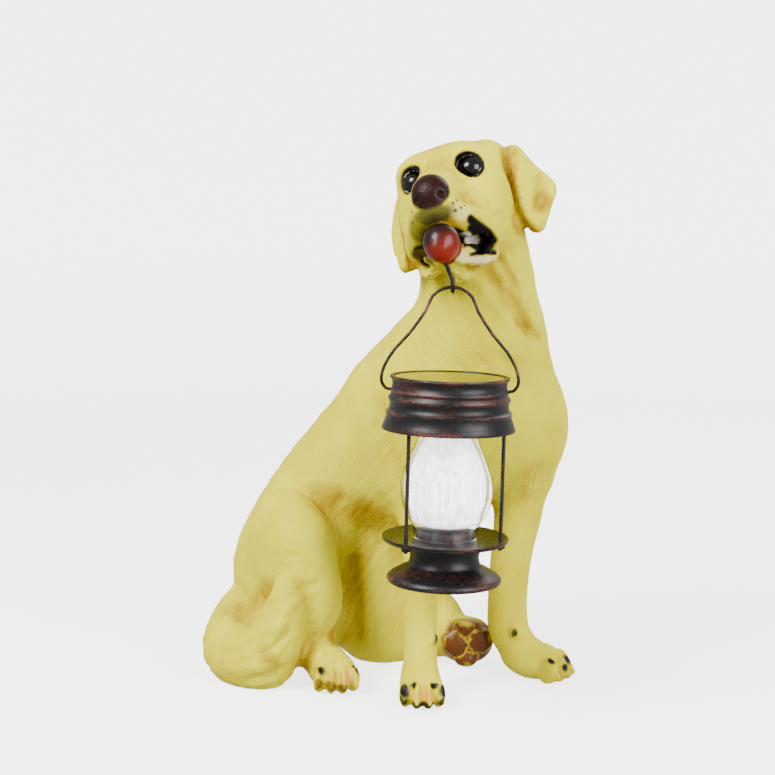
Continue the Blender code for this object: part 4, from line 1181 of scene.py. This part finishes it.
def liner_profile():
    """The white liner fills the chimney just inside its glass, from its socket up into the cap."""
    base = PIN_BELOW_TOP - FLANGE_DROP
    top = base + GLASS_HEIGHT - 0.002
    low = base + SOCKET_HEIGHT + 0.0022
    room = LINER_ROOM
    rows = [(GLASS_NECK_RADIUS - 0.0052, low), (GLASS_NECK_RADIUS - 0.0030, low + 0.0008),
            (GLASS_NECK_RADIUS + 0.0004, low + 0.0028), (GLASS_BELLY_RADIUS - room - 0.0040, low + 0.0080),
            (GLASS_BELLY_RADIUS - room - 0.0016, low + 0.0140), (GLASS_BELLY_RADIUS - room, low + 0.0240),
            (GLASS_BELLY_RADIUS - room - 0.0010, low + 0.0330), (GLASS_BELLY_RADIUS - room - 0.0038, low + 0.0420),
            (GLASS_BELLY_RADIUS - room - 0.0076, low + 0.0510), (GLASS_TOP_RADIUS - room + 0.0012, low + 0.0590),
            (GLASS_TOP_RADIUS - room, low + 0.0650), (GLASS_TOP_RADIUS - room, top)]
    return [(0, low)] + [tuple(r) for r in smooth_rows(rows, 3)] + [(0, top)]


def make_lantern():
    black = metal_material()
    cap, base = cap_profile(), base_profile()
    for name, profile, mat, replaced, slot, rub_and_highlight in (
            ("cap_shell", cap, black, ["lantern_cap"], "black_paint", ring_rub_and_highlight(cap, TURNED_SIDES)),
            ("base_spool", base, black, ["lantern_base"], "black_paint", ring_rub_and_highlight(base, TURNED_SIDES)),
            ("glass_bulb", glass_profile(), glass_material(), ["glass_chimney"], "clear_glass", None),
            ("white_liner", liner_profile(), liner_material(), [], "clear_glass", None)):
        add_piece(name, at_lantern(turned(profile, TURNED_SIDES)), mat, "lantern", replaced, rub_and_highlight)
    for name, angle in zip(("rod_right", "rod_left", "rod_rear"), ROD_ANGLES):
        add_piece("threaded_" + name, at_lantern(rod_piece(angle)), black, "lantern", [name])
    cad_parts["solar_panel"].material_slots[0].material = panel_material()
    add_piece("bail_wire", at_lantern(tube(bail_route(), BAIL_WIRE_RADIUS, WIRE_SIDES, (0, 1, 0))), black, "statue",
              ["bail"], BAIL_RUB_AND_HIGHLIGHT)
    add_piece("hook_wire", at_lantern(tube(hook_route(), HOOK_ROD_RADIUS, WIRE_SIDES, (1, 0, 0))), black, "statue",
              ["hook"])


def make_stage():
    """A pale floor that sweeps up into a round pale wall, lit softly from above and from beside the camera."""
    profile = [(0, 0.0), (2.2, 0.0), (2.45, 0.06), (2.65, 0.22), (2.78, 0.5), (2.8, 0.9), (2.8, 2.6)]
    paint = Paint("pale_floor")
    distance = paint.node("VectorMath", {0: paint.here}, operation="LENGTH").outputs["Value"]
    mesh = mesh_from("floor", turned(profile, 72))
    mesh.materials.append(paint.finish(Base_Color=(0.93, 0.93, 0.93), Roughness=0.9, Specular_IOR_Level=0.1,
                                       Emission_Color=(1, 1, 1),
                                       Emission_Strength=paint.ramp(distance, 0.9, 2.7, FLOOR_GLOW, WALL_GLOW)))
    mesh.shade_smooth()
    obj = show("floor", mesh)
    obj.location = (0, 0, -0.0005)
    obj.visible_diffuse = False
    obj.visible_glossy = False
    world = bpy.data.worlds.new("studio")
    world.use_nodes = True
    world.node_tree.nodes["Background"].inputs["Color"].default_value = (1, 1, 1, 1)
    world.node_tree.nodes["Background"].inputs["Strength"].default_value = 0.75
    bpy.context.scene.world = world
    target = Vector((0, 0, 0.22))
    for name, along, across, height, size, power in (("key", 1.0, -1.1, 1.08, 0.8, 66),
                                                     ("fill", 1.2, 1.2, 0.48, 1.0, 42),
                                                     ("rim", -1.0, 0.8, 0.98, 0.8, 10)):
        data = bpy.data.lights.new(name, "AREA")
        data.size = size
        data.energy = power
        lamp = show(name, data)
        lamp.location = target + TOWARD_CAMERA * along + RIGHT_OF_CAMERA * across + Vector((0, 0, height))
        lamp.rotation_euler = (target - lamp.location).to_track_quat("-Z", "Y").to_euler()


def make_camera():
    level = -TOWARD_CAMERA
    ahead = level * math.cos(CAMERA_PITCH) - Vector((0, 0, math.sin(CAMERA_PITCH)))
    up = level * math.sin(CAMERA_PITCH) + Vector((0, 0, math.cos(CAMERA_PITCH)))
    side = RIGHT_OF_CAMERA * math.cos(CAMERA_ROLL) + up * math.sin(CAMERA_ROLL)
    top = -RIGHT_OF_CAMERA * math.sin(CAMERA_ROLL) + up * math.cos(CAMERA_ROLL)
    data = bpy.data.cameras.new("photo_camera")
    data.sensor_width = SENSOR
    data.lens = CAMERA_FOCAL_PIXELS * SENSOR / IMAGE_SIZE
    data.clip_end = 20
    camera = show("photo_camera", data)
    place = TOWARD_CAMERA * CAMERA_DISTANCE + Vector((0, 0, CAMERA_HEIGHT)) + Vector(SHIFT)
    camera.matrix_world = Matrix.Translation(place) @ Matrix((side, top, -ahead)).transposed().to_4x4()
    bpy.context.scene.camera = camera


make_camera()
make_stage()
make_dog()
make_lantern()
